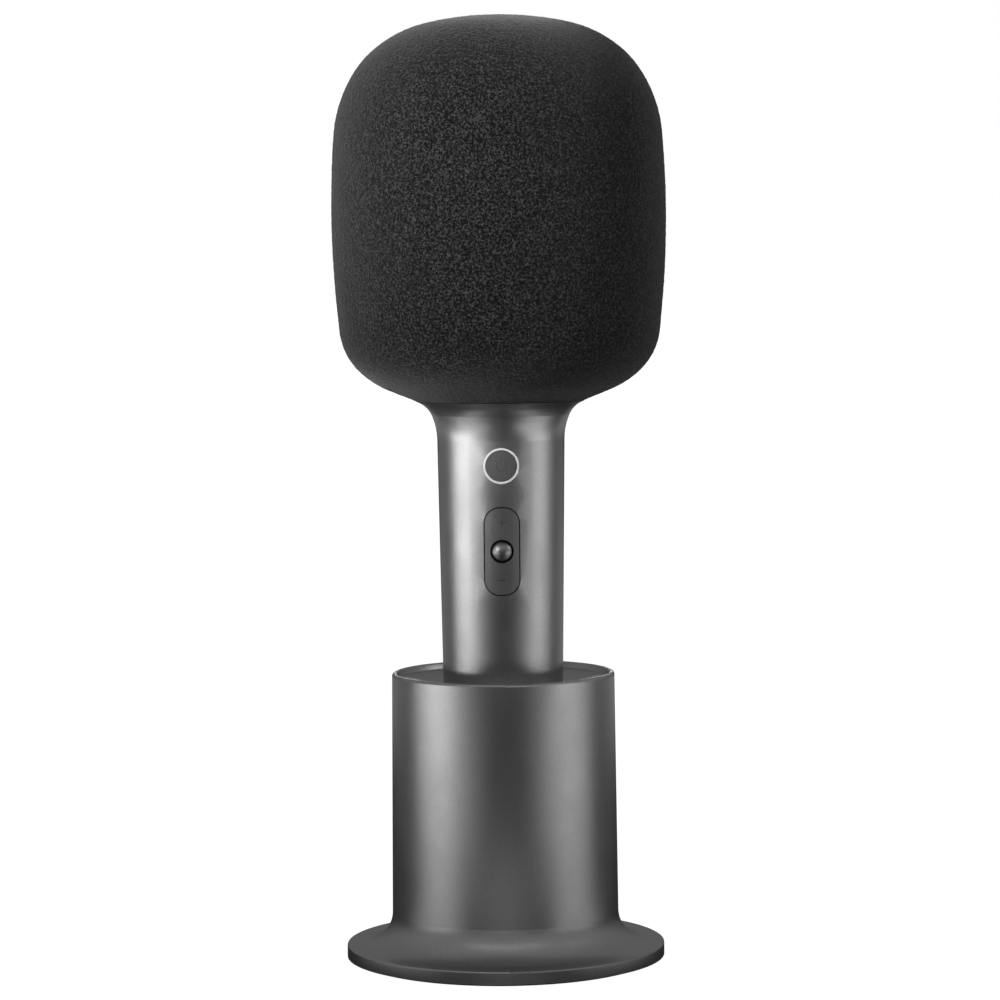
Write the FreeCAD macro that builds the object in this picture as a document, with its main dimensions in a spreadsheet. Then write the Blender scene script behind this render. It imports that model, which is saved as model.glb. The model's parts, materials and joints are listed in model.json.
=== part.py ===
import FreeCAD, Part
import math
import os
import re
import Sketcher

# Karaoke microphone standing in a round storage cup. Millimetres.
# z = 0 is the floor, the microphone's axis is x = y = 0 and its buttons face -Y.
# "depth" is a distance from the axis towards the front, so y = -depth.

SIZES = [
    # storage cup
    ("flange_radius", 42.6), ("flange_bottom", 0.8), ("flange_top", 4.2), ("flange_edge_round", 0.4),
    ("plate_recess_radius", 41.2), ("plate_recess_top", 3.0),
    ("fillet_radius", 8.5), ("fillet_foot_radius", 38.85), ("fillet_top", 12.7),
    ("cup_low_radius", 30.35), ("cup_top_radius", 29.8), ("cup_rim", 77.0), ("cup_lip_round", 0.8),
    ("cup_inner_radius", 27.9), ("lip_inner_radius", 28.3), ("lip_inner", 76.3),
    ("dish_foot_radius", 19.76), ("dish_foot", 73.08), ("throat_round", 3.0),
    ("bore_radius", 17.6), ("bore_mouth", 70.2), ("tube_outer_radius", 19.2),
    ("tube_top", 70.9), ("dish_under", 73.6), ("dish_edge_radius", 27.7), ("dish_edge", 75.4),
    ("boss_circle", 24.0), ("boss_radius", 3.0), ("boss_bottom", 19.0), ("boss_length", 27.0),
    ("boss_hole_radius", 1.55), ("boss_hole_length", 13.0), ("rib_thickness", 2.4),
    ("rib_length", 5.2), ("rib_bottom", 23.0), ("rib_height", 23.0),
    ("plate_radius", 41.0), ("foot_inner_radius", 33.0), ("foot_outer_radius", 40.0),
    ("foot_top", 1.6), ("groove_gap", 0.05), ("plate_head_radius", 2.9), ("plate_head_depth", 1.3),
    ("plate_hole_radius", 1.7),
    ("weight_inner_radius", 20.0), ("weight_outer_radius", 27.6), ("weight_top", 18.8),
    ("weight_hole_radius", 1.8), ("stand_head_radius", 2.6), ("stand_head_bottom", 0.9),
    ("stand_head_height", 1.2), ("stand_shaft_radius", 1.5), ("stand_shaft_length", 28.0),
    ("cushion_radius", 17.0), ("cushion_top", 4.2),
    ("guide_inner_radius", 16.2), ("guide_bottom", 58.0), ("guide_top", 64.0),
    # handle
    ("handle_bottom", 4.2), ("handle_bottom_radius", 15.0), ("handle_edge", 0.6),
    ("handle_flare_start", 139.5), ("handle_top_radius", 17.0), ("handle_wall", 1.5),
    ("flare_mid_radius", 18.41), ("flare_mid", 145.89), ("flare_arc_low", 16.3),
    ("flare_arc_high", 6.57), ("flare_edge_radius", 22.5), ("flare_edge", 149.5),
    ("seam", 149.7), ("seam_radius", 22.3), ("mouth_radius", 18.6), ("mouth_bottom", 148.2),
    ("neck_radius", 17.0), ("neck", 146.3), ("throat_radius", 15.9), ("throat", 143.5),
    ("power_z", 133.0), ("power_ring_radius", 4.7), ("power_ring_bore", 4.2),
    ("rocker_z", 110.5), ("rocker_hole_width", 9.6), ("rocker_hole_height", 23.4),
    ("rocker_hole_corner", 4.2), ("hole_reach", 30.0),
    # handle end
    ("end_cap_radius", 13.3), ("end_cap_top", 7.4), ("port_width", 9.2), ("port_height", 3.5),
    ("end_screw_offset", 10.7), ("end_head_radius", 1.6), ("end_head_top", 5.9),
    ("end_head_recess", 1.75), ("end_shaft_radius", 0.9), ("end_shaft_length", 5.6),
    ("end_hole_radius", 0.95), ("end_head_height", 1.0), ("port_corner", 1.7),
    ("socket_bottom", 4.5), ("socket_width", 8.94), ("socket_height", 3.2),
    ("socket_corner", 1.55), ("socket_length", 7.3), ("socket_bore_width", 8.3),
    ("socket_bore_height", 2.56), ("socket_bore_corner", 1.23), ("socket_bore_length", 6.6),
    ("tongue_half_width", 3.35), ("tongue_half_thickness", 0.35), ("tongue_bottom", 5.3),
    ("tongue_length", 5.8), ("io_half_width", 8.0), ("io_front_y", 1.6), ("io_thickness", 1.0),
    ("io_bottom", 7.6), ("io_height", 5.2),
    # chassis, battery and boards
    ("chassis_radius", 13.0), ("chassis_top", 143.0), ("chassis_front", 4.0),
    ("cell_radius", 9.1), ("cell_length", 65.0), ("cell_bottom", 14.0), ("cell_offset", 1.5),
    ("cell_bay_radius", 9.5), ("lower_bay_bottom", 12.0), ("lower_bay_top", 82.0),
    ("upper_bay_bottom", 85.0), ("upper_bay_top", 138.0), ("upper_bay_half_width", 9.6),
    ("upper_bay_back", 7.6), ("chassis_mouth_radius", 8.0), ("clear_reach", 20.0),
    ("port_bay_half_width", 8.4), ("port_bay_depth", 2.2), ("port_bay_width", 5.4),
    ("port_bay_length", 5.0), ("groove_half_width", 6.4), ("groove_depth", 9.1),
    ("groove_thickness", 1.2), ("bay_margin", 0.5), ("chassis_pilot_length", 4.2),
    ("short_wire_x", -4.0), ("short_wire_y", 0.4), ("short_wire_top", 89.0),
    ("long_wire_x", 6.5), ("long_wire_y", -7.0), ("long_wire_top", 94.0),
    ("tab_thickness", 0.2), ("post_radius", 1.9), ("post_pilot_radius", 0.85),
    ("post_pilot_length", 5.6), ("post_x", 6.9), ("post_low", 90.0), ("post_high", 135.2),
    ("board_half_width", 9.3), ("board_front_y", 1.0), ("board_thickness", 1.2),
    ("board_bottom", 86.0), ("board_height", 51.5), ("board_hole_radius", 0.9),
    ("board_head_radius", 1.5), ("board_head_height", 1.0), ("board_shaft_radius", 0.8),
    ("board_shaft_length", 5.0), ("chip_size", 7.0), ("chip_height", 1.0), ("chip_low", 100.0),
    ("chip_pitch", 11.0), ("can_x", 2.2), ("can_z", 90.5), ("can_radius", 2.0),
    ("can_height", 4.5), ("plug_width", 4.0), ("plug_depth", 4.6), ("plug_height", 6.0),
    ("plug_bottom", 127.0),
    ("button_board_half_width", 6.3), ("button_board_bottom", 84.3), ("button_board_height", 54.4),
    ("button_board_depth", 8.0), ("button_board_thickness", 1.0),
    ("switch_half", 2.0), ("switch_height", 1.1), ("plunger_radius", 0.9), ("plunger_height", 0.3),
    ("mat_half_width", 4.6), ("mat_bottom", 98.5), ("mat_height", 39.0), ("mat_thickness", 0.8),
    ("mat_depth", 10.4), ("dome_radius", 1.5), ("dome_height", 0.5), ("dome_root", 0.4),
    ("volume_offset", 8.0), ("lamp_size", 1.0), ("lamp_height", 0.6), ("lamp_x", 4.9),
    ("bracket_half_width", 6.3), ("bracket_bottom", 97.0), ("bracket_height", 27.0),
    ("bracket_depth", 10.4), ("bracket_thickness", 1.4), ("bracket_bar", 1.4), ("ear_root", 10.0),
    # keys
    ("cap_radius", 4.12), ("cap_flange_radius", 4.55),
    ("cap_flange_depth", 13.4), ("cap_flange_thickness", 0.8), ("cap_recess", 0.15),
    ("stem_radius", 1.4), ("stem_end_depth", 12.15), ("ring_back_depth", 14.6),
    ("key_width", 9.0), ("key_height", 22.8), ("key_corner", 3.9), ("key_back_depth", 14.7),
    ("key_hole_radius", 3.1), ("hinge_depth", 12.4), ("pin_radius", 0.6), ("pin_hole_radius", 0.65),
    ("lug_inner_x", 3.3), ("lug_outer_x", 4.3), ("pin_end_x", 5.5), ("lug_half_height", 1.6),
    ("key_stem_radius", 1.3), ("key_stem_end", 12.05), ("key_stem_length", 3.2),
    ("key_reach", 9.0), ("lug_tip_depth", 11.3), ("lug_root", 0.5), ("knob_cover_length", 4.0),
    ("stem_length", 3.0), ("cap_stem_length", 2.0), ("cap_face_length", 6.0),
    ("cap_face_depth", 13.4), ("ring_length", 6.0), ("ring_bore_depth", 13.6),
    ("knob_radius", 2.55), ("knob_back_depth", 14.2), ("knob_edge_depth", 16.2),
    ("knob_dome_rise", 1.27), ("knob_dome_sphere", 3.2),
    ("ear_inner_x", 4.6), ("ear_outer_x", 5.8), ("ear_half_height", 1.2), ("ear_tip_depth", 13.5),
    # collar and head
    ("collar_inner_radius", 11.0), ("collar_bottom", 143.0), ("collar_foot_radius", 15.2),
    ("collar_neck_radius", 16.8), ("collar_top_radius", 18.4),
    ("cage_radius", 20.5), ("cage_inner_radius", 19.3), ("cage_floor_top", 151.3),
    ("cage_top", 218.0),
    ("speaker_ledge_radius", 16.8), ("speaker_ledge_bottom", 192.0), ("speaker_ledge_top", 195.6),
    ("bracket_ledge_radius", 17.2), ("bracket_ledge_bottom", 211.0), ("bracket_ledge_top", 212.6),
    ("cage_screw_circle", 13.6), ("cage_screw_hole", 1.35), ("cage_pilot_radius", 1.25),
    ("cage_pilot_bottom", 144.0), ("cage_pilot_length", 9.0), ("cage_foot_bore", 11.5),
    ("cage_head_radius", 2.2), ("cage_head_height", 1.4), ("cage_shaft_radius", 1.2),
    ("cage_shaft_length", 7.0), ("ledge_slope", 2.0), ("slot_width", 4.4), ("slot_corner", 2.15),
    ("low_slot_z", 171.0), ("low_slot_height", 34.0), ("high_slot_z", 203.0),
    ("high_slot_height", 8.4), ("through", 4.0),
    ("dome_centre", 214.0), ("dome_outer_sphere", 22.0), ("dome_inner_sphere", 20.8),
    ("dome_outer_spring", 221.98), ("dome_inner_spring", 221.76), ("spigot_radius", 19.2),
    ("spigot_inner_radius", 18.2), ("spigot_bottom", 214.0), ("dome_shoulder_radius", 18.3),
    ("dome_shoulder", 223.68), ("sound_circle_inner", 5.5), ("sound_circle_middle", 10.5),
    ("sound_circle_outer", 15.5), ("sound_hole_small", 1.5), ("sound_hole_large", 1.7),
    ("sound_bottom", 222.0), ("sound_length", 16.0),
    ("foam_bore_radius", 20.8), ("foam_bore_sphere", 22.5), ("foam_bore_spring", 222.58),
    ("foam_bore_top", 236.5), ("foam_top", 251.7), ("foam_foot_radius", 22.7),
    ("foam_r_a", 29.3), ("foam_z_a", 152.3), ("foam_r_s", 37.2), ("foam_z_s", 157.2),
    ("foam_r_b", 42.85), ("foam_z_b", 170.0), ("foam_arc_s", 25.3),
    ("foam_r_c", 44.45), ("foam_z_c", 202.9), ("foam_r_d", 43.6), ("foam_z_d", 220.9),
    ("foam_r_e", 35.8), ("foam_z_e", 239.9), ("foam_r_f", 20.2), ("foam_z_f", 249.4),
    ("foam_arc_b", 17.4), ("foam_arc_c", 260.0), ("foam_arc_d", 226.0), ("foam_arc_e", 34.8),
    ("foam_arc_f", 31.4), ("foam_arc_g", 84.2), ("pole_flat", 0.5),
    # loudspeaker
    ("frame_screw_circle", 17.9), ("speaker_hole_radius", 0.65), ("lead_hole_radius", 0.8),
    ("diagonal", 0.707107), ("lead_x", -4.0), ("lead_y", 17.4), ("basket_bore", 7.0),
    ("basket_foot_radius", 12.8), ("basket_mouth_radius", 16.4), ("basket_mouth", 195.2),
    ("basket_lip_radius", 15.6), ("basket_lip", 195.5), ("basket_floor_radius", 12.1),
    ("basket_wall", 1.0), ("spider_inner_radius", 6.7), ("spider_outer_radius", 11.6),
    ("spider_thickness", 0.4), ("surround_inner_radius", 14.5), ("surround_bottom", 196.2),
    ("surround_wall", 0.4), ("surround_crown", 197.3), ("surround_rim_radius", 16.7),
    ("surround_seat_radius", 16.0), ("surround_arc_inner", 0.57), ("surround_arc_outer", 0.98),
    ("speaker_head_radius", 1.0), ("speaker_head_height", 0.7), ("speaker_shaft_radius", 0.6),
    ("speaker_shaft_length", 4.8),
    ("frame_bottom", 184.8), ("frame_seat", 196.0), ("frame_top", 197.2), ("frame_radius", 19.0),
    ("yoke_bottom", 176.8), ("yoke_radius", 10.5), ("pole_radius", 5.6), ("pole_top", 184.6),
    ("magnet_bottom", 178.2), ("magnet_height", 4.6), ("magnet_bore", 7.4),
    ("top_plate_bore", 6.9), ("top_plate_height", 2.0),
    ("former_radius", 6.4), ("former_bore", 6.05), ("former_bottom", 180.6), ("former_height", 7.6),
    ("cone_edge_radius", 14.2), ("cone_low", 187.6), ("cone_high", 195.6), ("cone_thickness", 0.5),
    ("dust_cap_top", 190.4), ("dust_cap_thickness", 0.35), ("dust_cap_arc", 10.0),
    # capsule
    ("bracket_top", 214.0), ("mount_outer_radius", 9.0), ("capsule_radius", 7.5),
    ("capsule_bottom", 211.6), ("capsule_length", 15.9), ("capsule_edge", 0.5),
    ("mount_bottom", 211.0), ("mount_lip_radius", 10.4), ("mount_lip_top", 215.2),
    ("mount_taper_top", 216.0), ("mount_top", 225.0), ("window_circle", 13.6),
    ("window_radius", 3.0), ("capsule_port_circle", 4.5), ("capsule_port_radius", 0.8),
    ("capsule_port_depth", 1.2), ("lead_radius", 0.5), ("lead_bend", 2.5),
    ("speaker_lead_x", 4.0), ("speaker_lead_y", 11.0), ("speaker_lead_turn", 158.0),
    ("lead_drop_y", 5.0), ("lead_bottom", 133.0), ("capsule_lead_y", 4.0),
    ("capsule_lead_top", 204.0), ("capsule_lead_turn", 164.0),
]
SIZE = dict(SIZES)

doc = FreeCAD.newDocument("karaoke_microphone")
sheet = doc.addObject("Spreadsheet::Sheet", "dims")
for row, (name, size) in enumerate(SIZES, start=1):
    sheet.set("A%d" % row, name)
    sheet.set("B%d" % row, str(size))
    sheet.setAlias("B%d" % row, name)
doc.recompute()

NODES = []


def factor(token):
    """Value of a product such as '0.5*rib_length'."""
    product = 1.0
    for word in token.split("*"):
        product *= SIZE[word] if word in SIZE else float(word)
    return product


def number(text):
    """Value of a short sum of sheet names and numbers, such as 'cup_rim - cup_lip_round'."""
    total = 0.0
    sign = 1.0
    for token in str(text).split():
        if token == "+":
            sign = 1.0
        elif token == "-":
            sign = -1.0
        else:
            total += sign * factor(token)
    return total


def formula(text):
    """The same sum written for the sheet."""
    return re.sub(r"[a-z]\w*", r"dims.\g<0>", str(text))


def bind(item, prop, text):
    """Set one property of an object from the sheet."""
    item.setExpression(prop, formula(text))


def node(item, label):
    """Give a finished sub-part its name and its place in the list of files."""
    item.Label = label
    NODES.append((label, item))
    return item


# ---------------------------------------------------------------- sketches and bodies


def origin_item(body, role):
    """One of a body's own origin planes or axes."""
    return [f for f in body.Origin.OriginFeatures if f.Role == role][0]


def new_body(name):
    """An empty body."""
    return doc.addObject("PartDesign::Body", name)


def new_sketch(body, name, role, offset=None):
    """A sketch on one of the body's origin planes, moved along the plane's normal."""
    sketch = body.newObject("Sketcher::SketchObject", name)
    sketch.AttachmentSupport = (origin_item(body, role), "")
    sketch.MapMode = "FlatFace"
    if offset is not None:
        bind(sketch, "AttachmentOffset.Base.z", offset)
    return sketch


def bind_constraint(sketch, index, text):
    """Drive one sketch dimension from the sheet."""
    sketch.setExpression("Constraints[%d]" % index, formula(text))


def pin(sketch, geo, pos, x, y):
    """Hold a sketch point at x, y from the sketch's origin."""
    for text, kind, axis in ((x, "DistanceX", -2), (y, "DistanceY", -1)):
        if number(text) == 0.0:
            rule = Sketcher.Constraint("PointOnObject", geo, pos, axis)
            sketch.addConstraint(rule)
        else:
            rule = Sketcher.Constraint(kind, -1, 1, geo, pos, number(text))
            bind_constraint(sketch, sketch.addConstraint(rule), text)


def arc_between(p, q, radius, turn):
    """Minor arc from p to q; turn +1 bends left and -1 right. Returned counter-clockwise."""
    chord = q - p
    half = chord.Length / 2.0
    rise = radius - math.sqrt(radius * radius - half * half)
    normal = FreeCAD.Vector(-chord.y, chord.x, 0).normalize()
    middle = (p + q) * 0.5 - normal * rise * turn
    if turn > 0:
        return Part.Arc(p, middle, q)
    return Part.Arc(q, middle, p)


def outline(sketch, points):
    """Closed outline. A point is (x, y), or (x, y, radius, turn) when an arc leads to it."""
    spots = [FreeCAD.Vector(number(p[0]), number(p[1]), 0) for p in points]
    ends = []
    for i, point in enumerate(points):
        before = spots[i - 1]
        if len(point) == 2:
            geo = sketch.addGeometry(Part.LineSegment(before, spots[i]))
            ends.append((geo, 1, 2))
        else:
            arc = arc_between(before, spots[i], number(point[2]), point[3])
            geo = sketch.addGeometry(arc)
            ends.append((geo, 1, 2) if point[3] > 0 else (geo, 2, 1))
    for i, point in enumerate(points):
        geo, start, end = ends[i]
        after = ends[(i + 1) % len(points)]
        sketch.addConstraint(Sketcher.Constraint("Coincident", geo, end, after[0], after[1]))
        pin(sketch, geo, end, point[0], point[1])
        if len(point) == 4:
            rule = Sketcher.Constraint("Radius", geo, number(point[2]))
            bind_constraint(sketch, sketch.addConstraint(rule), point[2])


def circle(sketch, x, y, radius):
    """A circle held at x, y with its radius from the sheet."""
    centre = FreeCAD.Vector(number(x), number(y), 0)
    normal = FreeCAD.Vector(0, 0, 1)
    geo = sketch.addGeometry(Part.Circle(centre, normal, number(radius)))
    pin(sketch, geo, 3, x, y)
    rule = Sketcher.Constraint("Radius", geo, number(radius))
    bind_constraint(sketch, sketch.addConstraint(rule), radius)


def rounded_slot(sketch, x, y, width, height, corner):
    """Upright rectangle with rounded corners, centred on x, y."""
    right = "%s + 0.5*%s" % (x, width)
    left = "%s - 0.5*%s" % (x, width)
    top = "%s + 0.5*%s" % (y, height)
    low = "%s - 0.5*%s" % (y, height)
    outline(sketch, [
        (right + " - " + corner, low),
        (right, low + " + " + corner, corner, 1),
        (right, top + " - " + corner),
        (right + " - " + corner, top, corner, 1),
        (left + " + " + corner, top),
        (left, top + " - " + corner, corner, 1),
        (left, low + " + " + corner),
        (left + " + " + corner, low, corner, 1),
    ])


def revolve(body, name, points):
    """Turn an outline of (radius, z) points about the z axis."""
    sketch = new_sketch(body, name + "_outline", "XZ_Plane")
    outline(sketch, points)
    feature = body.newObject("PartDesign::Revolution", name)
    feature.Profile = sketch
    feature.ReferenceAxis = (sketch, ["V_Axis"])
    feature.Angle = 360
    body.Tip = feature
    return feature


def turned(label, points):
    """A node that is one turned solid."""
    body = new_body(label)
    revolve(body, label + "_turn", points)
    return node(body, label)


def cut(body, name, sketch, length, forward=True):
    """Cut a sketch out of the body; forward follows the sketch's normal."""
    feature = body.newObject("PartDesign::Pocket", name)
    feature.Profile = sketch
    bind(feature, "Length", length)
    feature.Reversed = forward
    body.Tip = feature
    return feature


def raise_up(body, name, sketch, length):
    """Add a sketch's area to the body along the sketch's normal."""
    feature = body.newObject("PartDesign::Pad", name)
    feature.Profile = sketch
    bind(feature, "Length", length)
    body.Tip = feature
    return feature


def repeat(body, name, features, count):
    """Repeat features evenly round the z axis."""
    pattern = body.newObject("PartDesign::PolarPattern", name)
    pattern.Originals = features
    pattern.Axis = (origin_item(body, "Z_Axis"), [""])
    pattern.Angle = 360
    pattern.Occurrences = count
    body.Tip = pattern
    return pattern


def drill(body, name, x, y, radius, bottom, length, count=1):
    """Round upright holes, repeated round the axis when count is more than one."""
    sketch = new_sketch(body, name + "_sketch", "XY_Plane", bottom)
    circle(sketch, x, y, radius)
    hole = cut(body, name, sketch, length)
    if count > 1:
        repeat(body, name + "_all", [hole], count)
    return hole


# ---------------------------------------------------------------- simple solids


def block(name, x, y, z, length, width, height):
    """A box from its lowest corner and its size."""
    item = doc.addObject("Part::Box", name)
    bind(item, "Length", length)
    bind(item, "Width", width)
    bind(item, "Height", height)
    bind(item, "Placement.Base.x", x)
    bind(item, "Placement.Base.y", y)
    bind(item, "Placement.Base.z", z)
    return item


ALONG_Z = FreeCAD.Rotation()
ALONG_FRONT = FreeCAD.Rotation(FreeCAD.Vector(0, 0, 1), FreeCAD.Vector(0, -1, 0))
ALONG_BACK = FreeCAD.Rotation(FreeCAD.Vector(0, 0, 1), FreeCAD.Vector(0, 1, 0))
ALONG_X = FreeCAD.Rotation(FreeCAD.Vector(0, 0, 1), FreeCAD.Vector(1, 0, 0))


def rod(name, x, y, z, radius, length, turn=ALONG_Z):
    """A cylinder that starts at x, y, z and runs along the turned axis."""
    item = doc.addObject("Part::Cylinder", name)
    item.Placement = FreeCAD.Placement(FreeCAD.Vector(), turn)
    bind(item, "Radius", radius)
    bind(item, "Height", length)
    bind(item, "Placement.Base.x", x)
    bind(item, "Placement.Base.y", y)
    bind(item, "Placement.Base.z", z)
    return item


def fused(name, items):
    """Several touching solids as one."""
    item = doc.addObject("Part::MultiFuse", name)
    item.Shapes = items
    return item


def removed(name, base, tools):
    """A solid less several others."""
    item = doc.addObject("Part::Cut", name)
    item.Base = base
    item.Tool = tools[0] if len(tools) == 1 else fused(name + "_tools", tools)
    return item


def shared(name, first, second):
    """The volume two solids have in common."""
    item = doc.addObject("Part::Common", name)
    item.Base = first
    item.Tool = second
    return item


def group(label, items):
    """Identical pieces kept as one node."""
    item = doc.addObject("Part::Compound", label)
    item.Links = items
    return node(item, label)


def screw(name, x, y, z, head_radius, head_height, shaft_radius, shaft_length, turn=ALONG_Z):
    """A pan-head screw: head from x, y, z, shaft beyond it, cross recess in the head."""
    way = turn.multVec(FreeCAD.Vector(0, 0, 1))
    step = {}
    for axis, start in (("x", x), ("y", y), ("z", z)):
        share = round(getattr(way, axis))
        step[axis] = "%s + %d*%s" % (start, share, head_height) if share else start
    head = rod(name + "_head", x, y, z, head_radius, head_height, turn)
    shaft = rod(name + "_shaft", step["x"], step["y"], step["z"], shaft_radius, shaft_length, turn)
    solid = fused(name + "_solid", [head, shaft])
    slots = []
    for index, angle in enumerate((0, 90)):
        slot = doc.addObject("Part::Box", "%s_slot_%d" % (name, index))
        bind(slot, "Length", "1.2*" + head_radius)
        bind(slot, "Width", "0.26*" + head_radius)
        bind(slot, "Height", "0.5*" + head_height)
        spin = FreeCAD.Rotation(FreeCAD.Vector(0, 0, 1), angle)
        both = turn.multiply(spin)
        corner = FreeCAD.Vector(-0.6 * number(head_radius), -0.13 * number(head_radius), 0)
        place = FreeCAD.Vector(number(x), number(y), number(z)) + both.multVec(corner)
        slot.Placement = FreeCAD.Placement(place, both)
        slots.append(slot)
    return removed(name, solid, slots)


def round_the_axis(radius, count, first):
    """Sheet sums for points on a circle, as (x, y) pairs; angles in degrees."""
    spots = []
    for index in range(count):
        angle = math.radians(first + 360.0 * index / count)
        spots.append(("%.9f*%s" % (math.cos(angle), radius), "%.9f*%s" % (math.sin(angle), radius)))
    return spots


def lead(name, points):
    """A round wire along straight runs joined by tangent bends."""
    bend = SIZE["lead_bend"]
    spots = [FreeCAD.Vector(*[number(c) for c in p]) for p in points]
    edges = []
    start = spots[0]
    for before, corner, after in zip(spots, spots[1:], spots[2:]):
        into = (corner - before).normalize()
        out = (after - corner).normalize()
        first = corner - into * bend
        last = corner + out * bend
        centre = corner - into * bend + out * bend
        middle = centre + (corner - centre).normalize() * bend
        edges.append(Part.makeLine(start, first))
        edges.append(Part.Arc(first, middle, last).toShape())
        start = last
    edges.append(Part.makeLine(start, spots[-1]))
    way = (spots[1] - spots[0]).normalize()
    ring = Part.Wire([Part.makeCircle(SIZE["lead_radius"], spots[0], way)])
    item = doc.addObject("Part::Feature", name)
    item.Shape = Part.Wire(edges).makePipeShell([ring], True, False)
    item.Placement = FreeCAD.Placement()
    return item


# ---------------------------------------------------------------- storage cup


def stand_shell():
    """Outer cup: flange, wall and rolled lip, with three ribbed screw bosses."""
    body = new_body("stand_shell")
    revolve(body, "cup_turn", [
        ("plate_recess_radius", "flange_bottom"),
        ("flange_radius", "flange_bottom"),
        ("flange_radius", "flange_top - flange_edge_round"),
        ("flange_radius - flange_edge_round", "flange_top", "flange_edge_round", 1),
        ("fillet_foot_radius", "flange_top"),
        ("cup_low_radius", "fillet_top", "fillet_radius", -1),
        ("cup_top_radius", "cup_rim - cup_lip_round"),
        ("cup_top_radius - cup_lip_round", "cup_rim", "cup_lip_round", 1),
        ("lip_inner_radius", "lip_inner", "cup_lip_round", 1),
        ("cup_inner_radius", "dish_edge"),
        ("cup_inner_radius", "plate_recess_top"),
        ("plate_recess_radius", "plate_recess_top"),
    ])
    rib_sketch = new_sketch(body, "rib_sketch", "XY_Plane", "rib_bottom")
    far = "boss_circle + rib_length"
    half = "0.5*rib_thickness"
    outline(rib_sketch, [("boss_circle", "-0.5*rib_thickness"), (far, "-0.5*rib_thickness"),
                         (far, half), ("boss_circle", half)])
    rib = raise_up(body, "rib", rib_sketch, "rib_height")
    repeat(body, "ribs", [rib], 3)
    boss_sketch = new_sketch(body, "boss_sketch", "XY_Plane", "boss_bottom")
    circle(boss_sketch, "boss_circle", "0", "boss_radius")
    boss = raise_up(body, "boss", boss_sketch, "boss_length")
    repeat(body, "bosses", [boss], 3)
    drill(body, "boss_hole", "boss_circle", "0", "boss_hole_radius", "boss_bottom",
          "boss_hole_length", 3)
    return node(body, "stand_shell")


def cup_liner():
    """Shallow dish and centre tube pressed in under the cup's lip."""
    return turned("cup_liner", [
        ("bore_radius", "plate_recess_top"),
        ("tube_outer_radius", "plate_recess_top"),
        ("tube_outer_radius", "tube_top"),
        ("cup_inner_radius", "dish_under"),
        ("cup_inner_radius", "dish_edge"),
        ("dish_edge_radius", "dish_edge"),
        ("dish_foot_radius", "dish_foot"),
        ("bore_radius", "bore_mouth", "throat_round", 1),
    ])


def stand_base():
    """Base plate with its rubber ring, steel weight and screws."""
    plate = new_body("stand_base_plate")
    revolve(plate, "plate_turn", [
        ("0", "flange_bottom"),
        ("foot_inner_radius - groove_gap", "flange_bottom"),
        ("foot_inner_radius - groove_gap", "foot_top"),
        ("foot_outer_radius + groove_gap", "foot_top"),
        ("foot_outer_radius + groove_gap", "flange_bottom"),
        ("plate_radius", "flange_bottom"),
        ("plate_radius", "plate_recess_top"),
        ("0", "plate_recess_top"),
    ])
    drill(plate, "head_recess", "boss_circle", "0", "plate_head_radius", "flange_bottom",
          "plate_head_depth", 3)
    drill(plate, "screw_hole", "boss_circle", "0", "plate_hole_radius", "flange_bottom",
          "plate_recess_top", 3)
    node(plate, "stand_base_plate")
    turned("stand_foot_ring", [
        ("foot_inner_radius", "0"), ("foot_outer_radius", "0"),
        ("foot_outer_radius", "foot_top"), ("foot_inner_radius", "foot_top"),
    ])
    weight = new_body("stand_weight")
    revolve(weight, "weight_turn", [
        ("weight_inner_radius", "plate_recess_top"), ("weight_outer_radius", "plate_recess_top"),
        ("weight_outer_radius", "weight_top"), ("weight_inner_radius", "weight_top"),
    ])
    drill(weight, "weight_hole", "boss_circle", "0", "weight_hole_radius", "plate_recess_top",
          "weight_top", 3)
    node(weight, "stand_weight")
    screws = []
    for index, (x, y) in enumerate(round_the_axis("boss_circle", 3, 0)):
        screws.append(screw("stand_screw_%d" % index, x, y, "stand_head_bottom",
                            "stand_head_radius", "stand_head_height",
                            "stand_shaft_radius", "stand_shaft_length"))
    group("stand_screws", screws)


def cup_linings():
    """Soft pad under the handle and soft ring in the cup's tube."""
    turned("cup_cushion", [
        ("0", "plate_recess_top"), ("cushion_radius", "plate_recess_top"),
        ("cushion_radius", "cushion_top"), ("0", "cushion_top"),
    ])
    turned("cup_guide_ring", [
        ("guide_inner_radius", "guide_bottom"), ("bore_radius", "guide_bottom"),
        ("bore_radius", "guide_top"), ("guide_inner_radius + 0.5", "guide_top"),
        ("guide_inner_radius", "guide_top - 0.5", "0.5", 1),
    ])


# ---------------------------------------------------------------- handle


def handle_envelope(name, grow):
    """Solid with the handle's outer surface moved outwards by grow."""
    item = doc.addObject("Part::Cone", name)
    bind(item, "Radius1", "handle_bottom_radius" + grow)
    bind(item, "Radius2", "handle_top_radius" + grow)
    bind(item, "Height", "handle_flare_start - handle_bottom")
    bind(item, "Placement.Base.z", "handle_bottom")
    return item


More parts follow.
